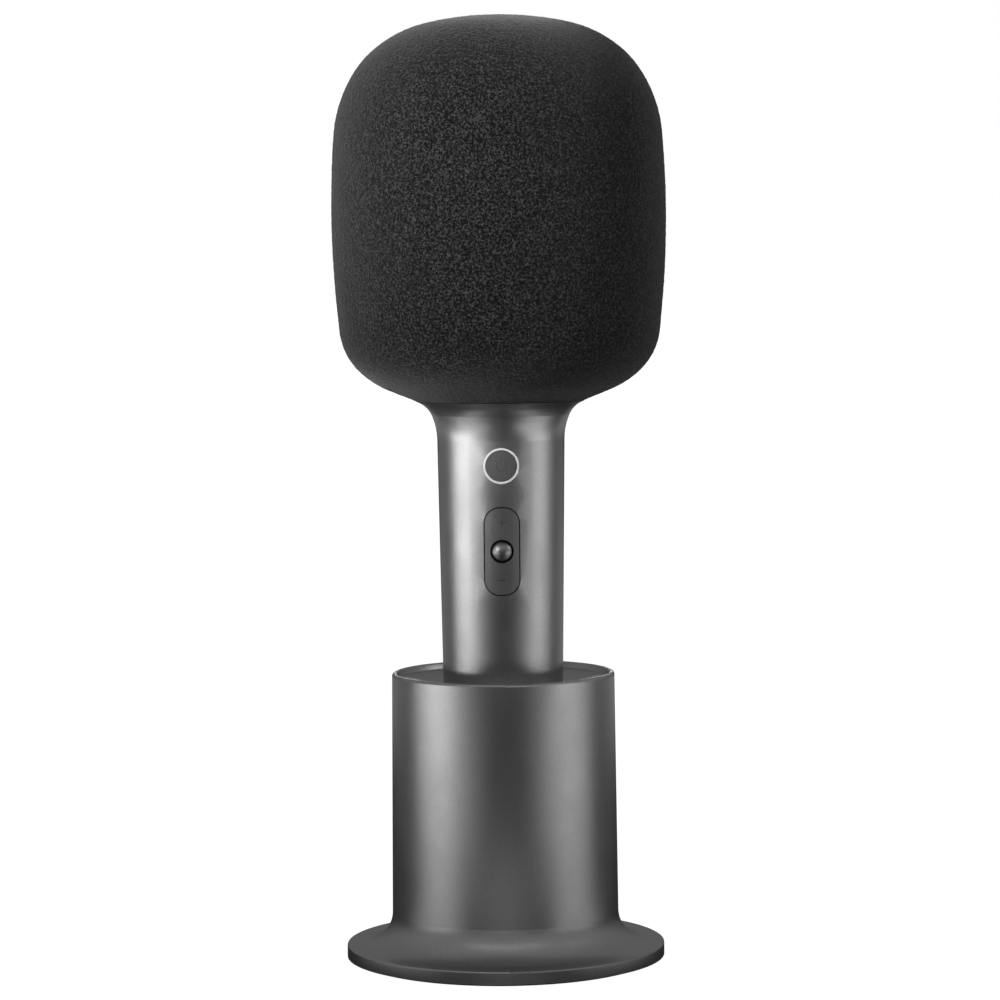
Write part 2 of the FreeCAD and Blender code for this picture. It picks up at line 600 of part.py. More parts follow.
def handle_shell():
    """Tapered tube that flares into the seat of the windscreen, with the key openings."""
    body = new_body("handle_shell")
    revolve(body, "handle_turn", [
        ("handle_bottom_radius - handle_wall", "handle_bottom"),
        ("handle_bottom_radius - handle_edge", "handle_bottom"),
        ("handle_bottom_radius", "handle_bottom + handle_edge", "handle_edge", 1),
        ("handle_top_radius", "handle_flare_start"),
        ("flare_mid_radius", "flare_mid", "flare_arc_low", -1),
        ("flare_edge_radius", "flare_edge", "flare_arc_high", -1),
        ("seam_radius", "seam"),
        ("mouth_radius", "seam"),
        ("mouth_radius", "mouth_bottom"),
        ("neck_radius", "neck"),
        ("throat_radius", "throat"),
        ("handle_top_radius - handle_wall", "handle_flare_start"),
    ])
    pill = new_sketch(body, "pill_sketch", "XZ_Plane")
    rounded_slot(pill, "0", "rocker_z", "rocker_hole_width", "rocker_hole_height",
                 "rocker_hole_corner")
    cut(body, "rocker_opening", pill, "hole_reach")
    disc = new_sketch(body, "disc_sketch", "XZ_Plane")
    circle(disc, "0", "power_z", "power_ring_radius")
    cut(body, "power_opening", disc, "hole_reach")
    return node(body, "handle_shell")


def handle_end():
    """End cap with the charging port opening, its screws, the port and the port's board."""
    body = new_body("handle_end_cap")
    revolve(body, "cap_turn", [
        ("0", "handle_bottom"), ("end_cap_radius", "handle_bottom"),
        ("end_cap_radius", "end_cap_top"), ("0", "end_cap_top"),
    ])
    port = new_sketch(body, "port_sketch", "XY_Plane", "handle_bottom")
    rounded_slot(port, "0", "0", "port_width", "port_height", "port_corner")
    cut(body, "port_opening", port, "end_cap_top")
    drill(body, "end_head", "end_screw_offset", "0", "end_head_recess", "handle_bottom",
          "end_head_top - handle_bottom", 2)
    drill(body, "end_hole", "end_screw_offset", "0", "end_hole_radius", "handle_bottom",
          "end_cap_top", 2)
    node(body, "handle_end_cap")
    screws = []
    for index, (x, y) in enumerate(round_the_axis("end_screw_offset", 2, 0)):
        screws.append(screw("end_screw_%d" % index, x, y, "end_head_top - end_head_height",
                            "end_head_radius", "end_head_height",
                            "end_shaft_radius", "end_shaft_length"))
    group("end_cap_screws", screws)
    shell = new_body("usb_c_socket")
    outside = new_sketch(shell, "socket_outside", "XY_Plane", "socket_bottom")
    rounded_slot(outside, "0", "0", "socket_width", "socket_height", "socket_corner")
    raise_up(shell, "socket_pad", outside, "socket_length")
    inside = new_sketch(shell, "socket_inside", "XY_Plane", "socket_bottom")
    rounded_slot(inside, "0", "0", "socket_bore_width", "socket_bore_height",
                 "socket_bore_corner")
    cut(shell, "socket_hollow", inside, "socket_bore_length")
    node(shell, "usb_c_socket")
    node(block("tongue", "-1*tongue_half_width", "-1*tongue_half_thickness", "tongue_bottom",
               "2*tongue_half_width", "2*tongue_half_thickness", "tongue_length"),
         "usb_c_tongue")
    node(block("port_board", "-1*io_half_width", "io_front_y", "io_bottom", "2*io_half_width",
               "io_thickness", "io_height"),
         "io_board")


def chassis():
    """Inner frame: a round bar opened at the front, with bays for the cell and the boards."""
    bar = rod("chassis_bar", "0", "0", "end_cap_top", "chassis_radius",
              "chassis_top - end_cap_top")
    lower = block("lower_front", "-1*clear_reach", "-1*clear_reach", "lower_bay_bottom",
                  "2*clear_reach", "clear_reach - chassis_front",
                  "lower_bay_top - lower_bay_bottom")
    upper = block("upper_front", "-1*clear_reach", "-1*clear_reach", "upper_bay_bottom",
                  "2*clear_reach", "clear_reach - chassis_front",
                  "upper_bay_top - upper_bay_bottom")
    cell = rod("cell_bay", "0", "cell_offset", "lower_bay_bottom", "cell_bay_radius",
               "lower_bay_top - lower_bay_bottom")
    bay = block("board_bay", "-1*upper_bay_half_width", "-1*chassis_front - bay_margin",
                "upper_bay_bottom", "2*upper_bay_half_width",
                "upper_bay_back + chassis_front + bay_margin", "upper_bay_top - upper_bay_bottom")
    mouth = rod("chassis_mouth", "0", "0", "upper_bay_top - bay_margin", "chassis_mouth_radius",
                "chassis_top - upper_bay_top + 2*bay_margin")
    slot = block("port_bay", "-1*port_bay_half_width", "-1*port_bay_depth", "end_cap_top",
                 "2*port_bay_half_width", "port_bay_width", "port_bay_length")
    groove = block("board_groove", "-1*groove_half_width", "-1*groove_depth",
                   "button_board_bottom - 0.1", "2*groove_half_width", "groove_thickness",
                   "button_board_height + 0.2")
    tools = [lower, upper, cell, bay, mouth, slot, groove]
    for index, (x, y) in enumerate(round_the_axis("end_screw_offset", 2, 0)):
        tools.append(rod("chassis_pilot_%d" % index, x, y, "end_cap_top", "end_hole_radius",
                         "chassis_pilot_length"))
    for index, side in enumerate(("short", "long")):
        tools.append(rod("lead_pass_%d" % index, side + "_wire_x", side + "_wire_y",
                         "lower_bay_top - bay_margin", "lead_hole_radius",
                         "upper_bay_bottom - lower_bay_top + 2*bay_margin"))
    frame = removed("chassis_frame", bar, tools)
    posts = []
    pilots = []
    for index, (x, z) in enumerate(board_screw_spots()):
        posts.append(rod("post_%d" % index, x, "board_front_y + board_thickness", z,
                         "post_radius", "upper_bay_back - board_front_y", ALONG_BACK))
        pilots.append(rod("post_pilot_%d" % index, x, "board_front_y", z, "post_pilot_radius",
                          "post_pilot_length", ALONG_BACK))
    whole = fused("chassis_with_posts", [frame] + posts)
    node(removed("chassis", whole, pilots), "inner_chassis")


def board_screw_spots():
    """The four screws of the main board, as (x, z)."""
    return [(x, z) for z in ("post_low", "post_high") for x in ("-1*post_x", "post_x")]


def power_source():
    """Round cell, its two tabs and its two wires."""
    node(rod("cell", "0", "cell_offset", "cell_bottom", "cell_radius", "cell_length"),
         "battery_cell")
    top = block("top_tab", "short_wire_x - 1", "-1.5", "cell_bottom + cell_length", "8", "6",
                "tab_thickness")
    low = block("low_tab", "-3", "long_wire_y - 0.6", "cell_bottom - tab_thickness",
                "long_wire_x + 3.6", "12", "tab_thickness")
    group("battery_tabs", [top, low])
    short_place = ("short_wire_x", "short_wire_y")
    long_place = ("long_wire_x", "long_wire_y")
    short = lead("short_wire", [(*short_place, "cell_bottom + cell_length + tab_thickness"),
                                (*short_place, "short_wire_top")])
    long = lead("long_wire", [(*long_place, "cell_bottom"), (*long_place, "long_wire_top"),
                              ("long_wire_x", "board_front_y - 0.05", "long_wire_top")])
    group("battery_leads", [short, long])


def main_board():
    """Main board with its chips, capacitors, plugs and screws."""
    board = block("board_blank", "-1*board_half_width", "board_front_y", "board_bottom",
                  "2*board_half_width", "board_thickness", "board_height")
    holes = []
    screws = []
    for index, (x, z) in enumerate(board_screw_spots()):
        head = "board_front_y - board_head_height"
        holes.append(rod("board_hole_%d" % index, x, head, z, "board_hole_radius",
                         "through", ALONG_BACK))
        screws.append(screw("board_screw_%d" % index, x, head, z, "board_head_radius",
                            "board_head_height", "board_shaft_radius", "board_shaft_length",
                            ALONG_BACK))
    node(removed("board", board, holes), "main_board")
    group("board_screws", screws)
    chips = [block("chip_%d" % index, "-0.5*chip_size", "board_front_y - chip_height",
                   "chip_low + %d*chip_pitch" % index, "chip_size", "chip_height", "chip_size")
             for index in range(3)]
    group("board_chips", chips)
    cans = [rod("can_%d" % index, x, "board_front_y - can_height", "can_z", "can_radius",
                "can_height", ALONG_BACK)
            for index, x in enumerate(("-1*can_x", "can_x"))]
    group("board_capacitors", cans)
    plugs = [block("plug_%d" % index, x, "board_front_y + board_thickness", "plug_bottom",
                   "plug_width", "plug_depth", "plug_height")
             for index, x in enumerate(("-1.5*plug_width", "0.5*plug_width"))]
    group("lead_plugs", plugs)


def key_heights():
    """Heights of the four switches: power, plus, mode, minus."""
    return ["power_z", "rocker_z + volume_offset", "rocker_z", "rocker_z - volume_offset"]


def button_deck():
    """Board, switches, lamps, key mat and hinge bracket behind the keys."""
    deck_front = "-1*button_board_depth - button_board_thickness"
    node(block("button_blank", "-1*button_board_half_width", deck_front, "button_board_bottom",
               "2*button_board_half_width", "button_board_thickness", "button_board_height"),
         "button_board")
    switches = []
    domes = []
    for index, z in enumerate(key_heights()):
        base = block("switch_base_%d" % index, "-1*switch_half", deck_front + " - switch_height",
                     z + " - switch_half", "2*switch_half", "switch_height", "2*switch_half")
        pip = rod("switch_pip_%d" % index, "0", deck_front + " - 0.5*switch_height", z,
                  "plunger_radius", "0.5*switch_height + plunger_height", ALONG_FRONT)
        switches.append(fused("switch_%d" % index, [base, pip]))
        domes.append(rod("mat_dome_%d" % index, "0", "-1*mat_depth - dome_root", z,
                         "dome_radius", "mat_thickness + dome_height - dome_root", ALONG_FRONT))
    group("tact_switches", switches)
    sheet_part = block("mat_sheet", "-1*mat_half_width", "-1*mat_depth - mat_thickness",
                       "mat_bottom", "2*mat_half_width", "mat_thickness", "mat_height")
    node(fused("mat", [sheet_part] + domes), "keypad_mat")
    lamps = []
    for side, x in (("left", "-1*lamp_x - lamp_size"), ("right", "lamp_x")):
        for level, z in (("low", "power_z - 2*lamp_size"), ("high", "power_z + lamp_size")):
            lamps.append(block("lamp_%s_%s" % (side, level), x, deck_front + " - lamp_height", z,
                               "lamp_size", "lamp_height", "lamp_size"))
    group("indicator_leds", lamps)
    frame = block("bracket_blank", "-1*bracket_half_width", "-1*bracket_depth", "bracket_bottom",
                  "2*bracket_half_width", "bracket_thickness", "bracket_height")
    window = block("bracket_window", "-1*bracket_half_width + bracket_bar", "-1*bracket_depth - 1",
                   "bracket_bottom + bracket_bar", "2*bracket_half_width - 2*bracket_bar",
                   "bracket_thickness + 2", "bracket_height - 2*bracket_bar")
    bars = removed("bracket_bars", frame, [window])
    ears = []
    bores = []
    for index, x in enumerate(("-1*ear_outer_x", "ear_inner_x")):
        ears.append(block("ear_%d" % index, x, "-1*ear_tip_depth", "rocker_z - ear_half_height",
                          "ear_outer_x - ear_inner_x", "ear_tip_depth - ear_root",
                          "2*ear_half_height"))
        bores.append(rod("ear_bore_%d" % index, x + " - 1", "-1*hinge_depth", "rocker_z",
                         "pin_hole_radius", "through", ALONG_X))
    node(removed("bracket", fused("bracket_solid", [bars] + ears), bores), "button_bracket")


def power_key():
    """Round power key and the clear ring round it, both following the handle's surface."""
    tube = rod("ring_outside", "0", "-1*ring_back_depth", "power_z", "power_ring_radius",
               "ring_length", ALONG_FRONT)
    bore = rod("ring_bore", "0", "-1*ring_bore_depth", "power_z", "power_ring_bore",
               "key_reach", ALONG_FRONT)
    ring = removed("ring_tube", tube, [bore])
    node(shared("light_ring", ring, handle_envelope("ring_envelope", "")), "power_light_ring")
    face = rod("cap_face", "0", "-1*cap_face_depth", "power_z", "cap_radius",
               "cap_face_length", ALONG_FRONT)
    flange = rod("cap_flange", "0", "-1*cap_flange_depth", "power_z", "cap_flange_radius",
                 "cap_flange_thickness", ALONG_FRONT)
    stem = rod("cap_stem", "0", "-1*stem_end_depth", "power_z", "stem_radius",
               "cap_stem_length", ALONG_FRONT)
    solid = fused("cap_solid", [face, flange, stem])
    node(shared("power_cap", solid, handle_envelope("cap_envelope", " - cap_recess")),
         "power_button_cap")


def volume_key():
    """Rocker key with its hinge pins and stems, and the mode knob that passes through it."""
    body = new_body("key_prism")
    sketch = new_sketch(body, "key_sketch", "XZ_Plane", "key_back_depth")
    rounded_slot(sketch, "0", "rocker_z", "key_width", "key_height", "key_corner")
    raise_up(body, "key_pad", sketch, "through")
    plate = shared("key_plate", body, handle_envelope("key_envelope", ""))
    pieces = [plate]
    for index, x in enumerate(("-1*lug_outer_x", "lug_inner_x")):
        pieces.append(block("lug_%d" % index, x, "-1*key_back_depth - lug_root",
                            "rocker_z - lug_half_height", "lug_outer_x - lug_inner_x",
                            "key_back_depth - lug_tip_depth", "2*lug_half_height"))
    for index, x in enumerate(("-1*pin_end_x", "lug_outer_x - lug_root")):
        pieces.append(rod("pin_%d" % index, x, "-1*hinge_depth", "rocker_z", "pin_radius",
                          "pin_end_x - lug_outer_x + lug_root", ALONG_X))
    for index, z in enumerate(("rocker_z - volume_offset", "rocker_z + volume_offset")):
        pieces.append(rod("key_stem_%d" % index, "0", "-1*key_stem_end", z, "key_stem_radius",
                          "key_stem_length", ALONG_FRONT))
    hole = rod("key_hole", "0", "-1*hinge_depth", "rocker_z", "key_hole_radius", "key_reach",
               ALONG_FRONT)
    node(removed("key", fused("key_solid", pieces), [hole]), "volume_rocker_key")
    waist = rod("knob_waist", "0", "-1*knob_back_depth", "rocker_z", "knob_radius",
                "knob_edge_depth - knob_back_depth", ALONG_FRONT)
    stem = rod("knob_stem", "0", "-1*stem_end_depth", "rocker_z", "stem_radius",
               "stem_length", ALONG_FRONT)
    ball = doc.addObject("Part::Sphere", "knob_ball")
    bind(ball, "Radius", "knob_dome_sphere")
    bind(ball, "Placement.Base.y", "-1*knob_edge_depth - knob_dome_rise + knob_dome_sphere")
    bind(ball, "Placement.Base.z", "rocker_z")
    cover = rod("knob_cover", "0", "-1*knob_edge_depth + 0.5", "rocker_z", "knob_radius",
                "knob_cover_length", ALONG_FRONT)
    dome = shared("knob_dome", ball, cover)
    node(fused("knob", [waist, stem, dome]), "mode_button_knob")


def collar():
    """Ring inside the flare that carries the cage."""
    body = new_body("handle_collar")
    revolve(body, "collar_turn", [
        ("collar_inner_radius", "collar_bottom"), ("collar_foot_radius", "collar_bottom"),
        ("collar_neck_radius", "neck"), ("collar_top_radius", "mouth_bottom"),
        ("collar_top_radius", "seam"), ("collar_inner_radius", "seam"),
    ])
    drill(body, "collar_pilot", "cage_screw_circle", "0", "cage_pilot_radius",
          "cage_pilot_bottom", "cage_pilot_length", 3)
    node(body, "handle_collar")


# ---------------------------------------------------------------- head


def head_cage():
    """Slotted tube under the foam, with ledges for the loudspeaker and the capsule bracket."""
    body = new_body("head_cage")
    revolve(body, "cage_turn", [
        ("cage_foot_bore", "seam"), ("cage_radius", "seam"),
        ("cage_radius", "cage_top"), ("cage_inner_radius", "cage_top"),
        ("cage_inner_radius", "bracket_ledge_top"), ("bracket_ledge_radius", "bracket_ledge_top"),
        ("bracket_ledge_radius", "bracket_ledge_bottom"),
        ("cage_inner_radius", "bracket_ledge_bottom - ledge_slope"),
        ("cage_inner_radius", "speaker_ledge_top"), ("speaker_ledge_radius", "speaker_ledge_top"),
        ("speaker_ledge_radius", "speaker_ledge_bottom"),
        ("cage_inner_radius", "speaker_ledge_bottom - ledge_slope"),
        ("cage_inner_radius", "cage_floor_top"),
        ("cage_foot_bore", "cage_floor_top"),
    ])
    low = new_sketch(body, "low_slot_sketch", "XZ_Plane")
    rounded_slot(low, "0", "low_slot_z", "slot_width", "low_slot_height", "slot_corner")
    low_cut = cut(body, "low_slot", low, "hole_reach")
    repeat(body, "low_slots", [low_cut], 16)
    high = new_sketch(body, "high_slot_sketch", "XZ_Plane")
    rounded_slot(high, "0", "high_slot_z", "slot_width", "high_slot_height", "slot_corner")
    high_cut = cut(body, "high_slot", high, "hole_reach")
    repeat(body, "high_slots", [high_cut], 16)
    drill(body, "cage_hole", "cage_screw_circle", "0", "cage_screw_hole", "seam - 1", "through",
          3)
    drill(body, "ledge_pilot", "diagonal*frame_screw_circle", "diagonal*frame_screw_circle",
          "speaker_hole_radius", "speaker_ledge_bottom", "through", 4)
    drill(body, "ledge_lead_hole", "lead_x", "lead_y", "lead_hole_radius",
          "speaker_ledge_bottom - 3", "2*through")
    node(body, "head_cage")
    screws = []
    for index, (x, y) in enumerate(round_the_axis("cage_screw_circle", 3, 0)):
        turn = FreeCAD.Rotation(FreeCAD.Vector(0, 0, 1), FreeCAD.Vector(0, 0, -1))
        screws.append(screw("cage_screw_%d" % index, x, y, "cage_floor_top + cage_head_height",
                            "cage_head_radius", "cage_head_height", "cage_shaft_radius",
                            "cage_shaft_length", turn))
    group("cage_screws", screws)


def cage_cap():
    """Domed cap of the cage, with sound holes and a spigot that plugs into the tube."""
    body = new_body("cage_cap")
    revolve(body, "cap_dome_turn", [
        ("spigot_inner_radius", "spigot_bottom"), ("spigot_radius", "spigot_bottom"),
        ("spigot_radius", "cage_top"), ("cage_radius", "cage_top"),
        ("cage_radius", "dome_outer_spring"),
        ("pole_flat", "dome_centre + dome_outer_sphere", "dome_outer_sphere", 1),
        ("0", "dome_centre + dome_outer_sphere"),
        ("0", "dome_centre + dome_inner_sphere"),
        ("pole_flat", "dome_centre + dome_inner_sphere"),
        ("dome_shoulder_radius", "dome_shoulder", "dome_inner_sphere", -1),
        ("spigot_inner_radius", "dome_inner_spring"),
    ])
    for place, radius, count in (("inner", "sound_hole_small", 6),
                                 ("middle", "sound_hole_large", 12),
                                 ("outer", "sound_hole_large", 18)):
        drill(body, "sound_hole_" + place, "sound_circle_" + place, "0", radius, "sound_bottom",
              "sound_length", count)
    node(body, "cage_cap")


def speaker_fixed():
    """Loudspeaker frame, gasket, screws, magnet parts, surround and spider."""
    frame = new_body("speaker_frame")
    revolve(frame, "frame_turn", [
        ("basket_bore", "frame_bottom"), ("basket_foot_radius", "frame_bottom"),
        ("basket_mouth_radius", "basket_mouth"), ("basket_mouth_radius", "frame_seat"),
        ("frame_radius", "frame_seat"), ("frame_radius", "frame_top"),
        ("basket_lip_radius", "frame_top"), ("basket_lip_radius", "basket_lip"),
        ("basket_floor_radius", "frame_bottom + basket_wall"),
        ("basket_bore", "frame_bottom + basket_wall"),
    ])
    drill(frame, "frame_hole", "diagonal*frame_screw_circle", "diagonal*frame_screw_circle",
          "speaker_hole_radius", "frame_seat - 0.5", "through", 4)
    drill(frame, "frame_lead_hole", "lead_x", "lead_y", "lead_hole_radius", "frame_seat - 0.5",
          "through")
    node(frame, "speaker_frame")
    gasket = new_body("speaker_gasket")
    revolve(gasket, "gasket_turn", [
        ("speaker_ledge_radius", "speaker_ledge_top"), ("frame_radius", "speaker_ledge_top"),
        ("frame_radius", "frame_seat"), ("speaker_ledge_radius", "frame_seat"),
    ])
    drill(gasket, "gasket_hole", "diagonal*frame_screw_circle", "diagonal*frame_screw_circle",
          "speaker_hole_radius", "speaker_ledge_top - 1", "through", 4)
    drill(gasket, "gasket_lead_hole", "lead_x", "lead_y", "lead_hole_radius",
          "speaker_ledge_top - 1", "through")
    node(gasket, "speaker_gasket")
    turn = FreeCAD.Rotation(FreeCAD.Vector(0, 0, 1), FreeCAD.Vector(0, 0, -1))
    screws = []
    for index, (x, y) in enumerate(round_the_axis("frame_screw_circle", 4, 45)):
        screws.append(screw("speaker_screw_%d" % index, x, y, "frame_top + speaker_head_height",
                            "speaker_head_radius", "speaker_head_height",
                            "speaker_shaft_radius", "speaker_shaft_length", turn))
    group("speaker_screws", screws)
    turned("speaker_yoke", [
        ("0", "yoke_bottom"), ("yoke_radius", "yoke_bottom"), ("yoke_radius", "magnet_bottom"),
        ("pole_radius", "magnet_bottom"), ("pole_radius", "pole_top"), ("0", "pole_top"),
    ])
    turned("speaker_magnet", [
        ("magnet_bore", "magnet_bottom"), ("yoke_radius", "magnet_bottom"),
        ("yoke_radius", "magnet_bottom + magnet_height"),
        ("magnet_bore", "magnet_bottom + magnet_height"),
    ])
    plate_low = "frame_bottom - top_plate_height"
    turned("speaker_top_plate", [
        ("top_plate_bore", plate_low), ("yoke_radius", plate_low),
        ("yoke_radius", "frame_bottom"), ("top_plate_bore", "frame_bottom"),
    ])
    turned("speaker_surround", [
        ("surround_inner_radius", "surround_bottom"),
        ("surround_inner_radius + surround_wall", "surround_bottom"),
        ("surround_inner_radius + surround_wall", "surround_crown"),
        ("surround_seat_radius", "surround_crown", "surround_arc_inner", -1),
        ("surround_seat_radius", "frame_top"), ("surround_rim_radius", "frame_top"),
        ("surround_rim_radius", "frame_top + surround_wall"),
        ("surround_seat_radius + surround_wall", "frame_top + surround_wall"),
        ("surround_inner_radius", "surround_crown", "surround_arc_outer", 1),
    ])
    low = "frame_bottom + basket_wall"
    turned("speaker_spider", [
        ("spider_inner_radius", low), ("spider_outer_radius", low),
        ("spider_outer_radius", low + " + spider_thickness"),
        ("spider_inner_radius", low + " + spider_thickness"),
    ])


def speaker_moving():
    """Cone, voice coil and dust cap."""
    turned("speaker_cone", [
        ("former_radius", "cone_low"), ("cone_edge_radius", "cone_high"),
        ("cone_edge_radius", "cone_high + cone_thickness"),
        ("former_radius", "cone_low + cone_thickness"),
    ])
    turned("voice_coil", [
        ("former_bore", "former_bottom"), ("former_radius", "former_bottom"),
        ("former_radius", "former_bottom + former_height"),
        ("former_bore", "former_bottom + former_height"),
    ])
    base = "former_bottom + former_height"
    turned("dust_cap", [
        ("former_radius", base),
        ("pole_flat", "dust_cap_top", "dust_cap_arc", 1),
        ("0", "dust_cap_top"),
        ("0", "dust_cap_top - dust_cap_thickness"),
        ("pole_flat", "dust_cap_top - dust_cap_thickness"),
        ("former_bore", base, "dust_cap_arc", -1),
    ])


def capsule():
    """Microphone capsule in its rubber mount on a spoked bracket."""
    bracket = new_body("capsule_bracket")
    revolve(bracket, "bracket_turn", [
        ("mount_outer_radius + groove_gap", "bracket_ledge_top"),
        ("spigot_radius", "bracket_ledge_top"), ("spigot_radius", "bracket_top"),
        ("mount_outer_radius + groove_gap", "bracket_top"),
    ])
    drill(bracket, "bracket_window", "window_circle", "0", "window_radius",
          "bracket_ledge_top - 1", "through", 8)
    node(bracket, "capsule_bracket")
    turned("capsule_shock_mount", [
        ("capsule_radius", "mount_bottom"), ("mount_lip_radius", "mount_bottom"),
        ("mount_lip_radius", "bracket_ledge_top"), ("mount_outer_radius", "bracket_ledge_top"),
        ("mount_outer_radius", "bracket_top"), ("mount_lip_radius", "bracket_top"),
        ("mount_lip_radius", "mount_lip_top"), ("mount_outer_radius", "mount_taper_top"),
        ("mount_outer_radius", "mount_top"), ("capsule_radius", "mount_top"),
    ])
    body = new_body("microphone_capsule")
    top = "capsule_bottom + capsule_length"
    revolve(body, "capsule_turn", [
        ("0", "capsule_bottom"), ("capsule_radius", "capsule_bottom"),
        ("capsule_radius", top + " - capsule_edge"),
        ("capsule_radius - capsule_edge", top, "capsule_edge", 1),
        ("0", top),
    ])
    drill(body, "capsule_port", "capsule_port_circle", "0", "capsule_port_radius",
          top + " - capsule_port_depth", "through", 8)
    node(body, "microphone_capsule")


def head_leads():
    """Wires from the board up to the loudspeaker and to the capsule."""
    node(lead("speaker_wire", [
        ("speaker_lead_x", "speaker_lead_y", "frame_bottom"),
        ("speaker_lead_x", "speaker_lead_y", "speaker_lead_turn"),
        ("speaker_lead_x", "lead_drop_y", "speaker_lead_turn"),
        ("speaker_lead_x", "lead_drop_y", "lead_bottom"),
    ]), "speaker_lead")
    node(lead("capsule_wire", [
        ("lead_x", "capsule_lead_y", "capsule_bottom"),
        ("lead_x", "capsule_lead_y", "capsule_lead_top"),
        ("lead_x", "lead_y", "capsule_lead_top"),
        ("lead_x", "lead_y", "capsule_lead_turn"),
        ("lead_x", "lead_drop_y", "capsule_lead_turn"),
        ("lead_x", "lead_drop_y", "lead_bottom"),
    ]), "capsule_lead")


def windscreen():
    """Foam head with a straight bore that slips over the cage."""
    turned("foam_windscreen", [
        ("foam_bore_radius", "seam"), ("foam_foot_radius", "seam"),
        ("foam_r_a", "foam_z_a"),
        ("foam_r_s", "foam_z_s", "foam_arc_s", 1),
        ("foam_r_b", "foam_z_b", "foam_arc_b", 1),
        ("foam_r_c", "foam_z_c", "foam_arc_c", 1),
        ("foam_r_d", "foam_z_d", "foam_arc_d", 1),
        ("foam_r_e", "foam_z_e", "foam_arc_e", 1),
        ("foam_r_f", "foam_z_f", "foam_arc_f", 1),
        ("pole_flat", "foam_top", "foam_arc_g", 1),
        ("0", "foam_top"),
        ("0", "foam_bore_top"),
        ("pole_flat", "foam_bore_top"),
        ("foam_bore_radius", "foam_bore_spring", "foam_bore_sphere", -1),
    ])


STEPS = [
    stand_shell, cup_liner, stand_base, cup_linings, handle_shell, handle_end, chassis, power_source,
    main_board, button_deck, power_key, volume_key, collar, head_cage, cage_cap,
    speaker_fixed, speaker_moving, capsule, head_leads, windscreen,
]
for step in STEPS:
    step()
doc.recompute()

faults = []
for item in doc.Objects:
    if "Invalid" in item.State or "Error" in item.State:
        faults.append("%s is %s" % (item.Label, item.State))
for label, item in NODES:
    if item.Shape.isNull():
        faults.append("%s has no shape" % label)
    elif not item.Shape.isValid() or item.Shape.Volume <= 0:
        faults.append("%s has a bad shape" % label)
if faults:
    raise RuntimeError("; ".join(faults))

os.makedirs("parts", exist_ok=True)
for label, item in NODES:
    item.Shape.exportStep("parts/%s.step" % label)
print("%d nodes written" % len(NODES))
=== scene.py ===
import json
import math

import bmesh
import bpy
from mathutils import Matrix, Vector, noise

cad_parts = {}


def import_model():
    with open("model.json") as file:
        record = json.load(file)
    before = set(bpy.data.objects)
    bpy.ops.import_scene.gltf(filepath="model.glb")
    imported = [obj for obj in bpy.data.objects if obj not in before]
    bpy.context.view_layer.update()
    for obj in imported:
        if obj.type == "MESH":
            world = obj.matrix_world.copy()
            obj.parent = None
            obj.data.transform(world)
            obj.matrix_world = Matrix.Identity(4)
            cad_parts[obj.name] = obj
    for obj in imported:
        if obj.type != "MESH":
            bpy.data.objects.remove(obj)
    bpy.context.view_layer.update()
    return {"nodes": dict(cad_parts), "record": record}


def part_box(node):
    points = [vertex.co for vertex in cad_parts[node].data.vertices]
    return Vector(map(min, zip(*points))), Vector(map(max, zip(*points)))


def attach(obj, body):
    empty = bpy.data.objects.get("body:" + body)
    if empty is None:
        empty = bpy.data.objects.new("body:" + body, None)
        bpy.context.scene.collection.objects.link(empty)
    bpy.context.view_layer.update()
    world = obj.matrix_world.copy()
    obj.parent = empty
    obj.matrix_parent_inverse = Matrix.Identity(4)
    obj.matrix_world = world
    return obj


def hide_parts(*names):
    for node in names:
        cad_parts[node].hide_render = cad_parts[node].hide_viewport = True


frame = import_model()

# Karaoke microphone in its storage cup. Metres; the cup stands on z = 0 and the front faces -Y.

NODES = frame["nodes"]

MM = 0.001


def place(name, data):
    """A new object in the scene that holds the given data."""
    item = bpy.data.objects.new(name, data)
    bpy.context.scene.collection.objects.link(item)
    return item


def mesh_piece(name, mesh):
    """A new object made from a finished bmesh, which is freed."""
    bmesh.ops.recalc_face_normals(mesh, faces=mesh.faces)
    data = bpy.data.meshes.new(name)
    mesh.to_mesh(data)
    mesh.free()
    return place(name, data)


def between(tree, source, reach, result):
    """The source mapped from the reach to the result, held at both ends."""
    ranged = tree.nodes.new("ShaderNodeMapRange")
    ranged.inputs["From Min"].default_value, ranged.inputs["From Max"].default_value = reach
    ranged.inputs["To Min"].default_value, ranged.inputs["To Max"].default_value = result
    tree.links.new(source, ranged.inputs["Value"])
    return ranged.outputs["Result"]


# ------------------------------------------------------------------ materials

# Noise textures stay mostly between these two values.
NOISE_LOW, NOISE_HIGH = 0.3, 0.7


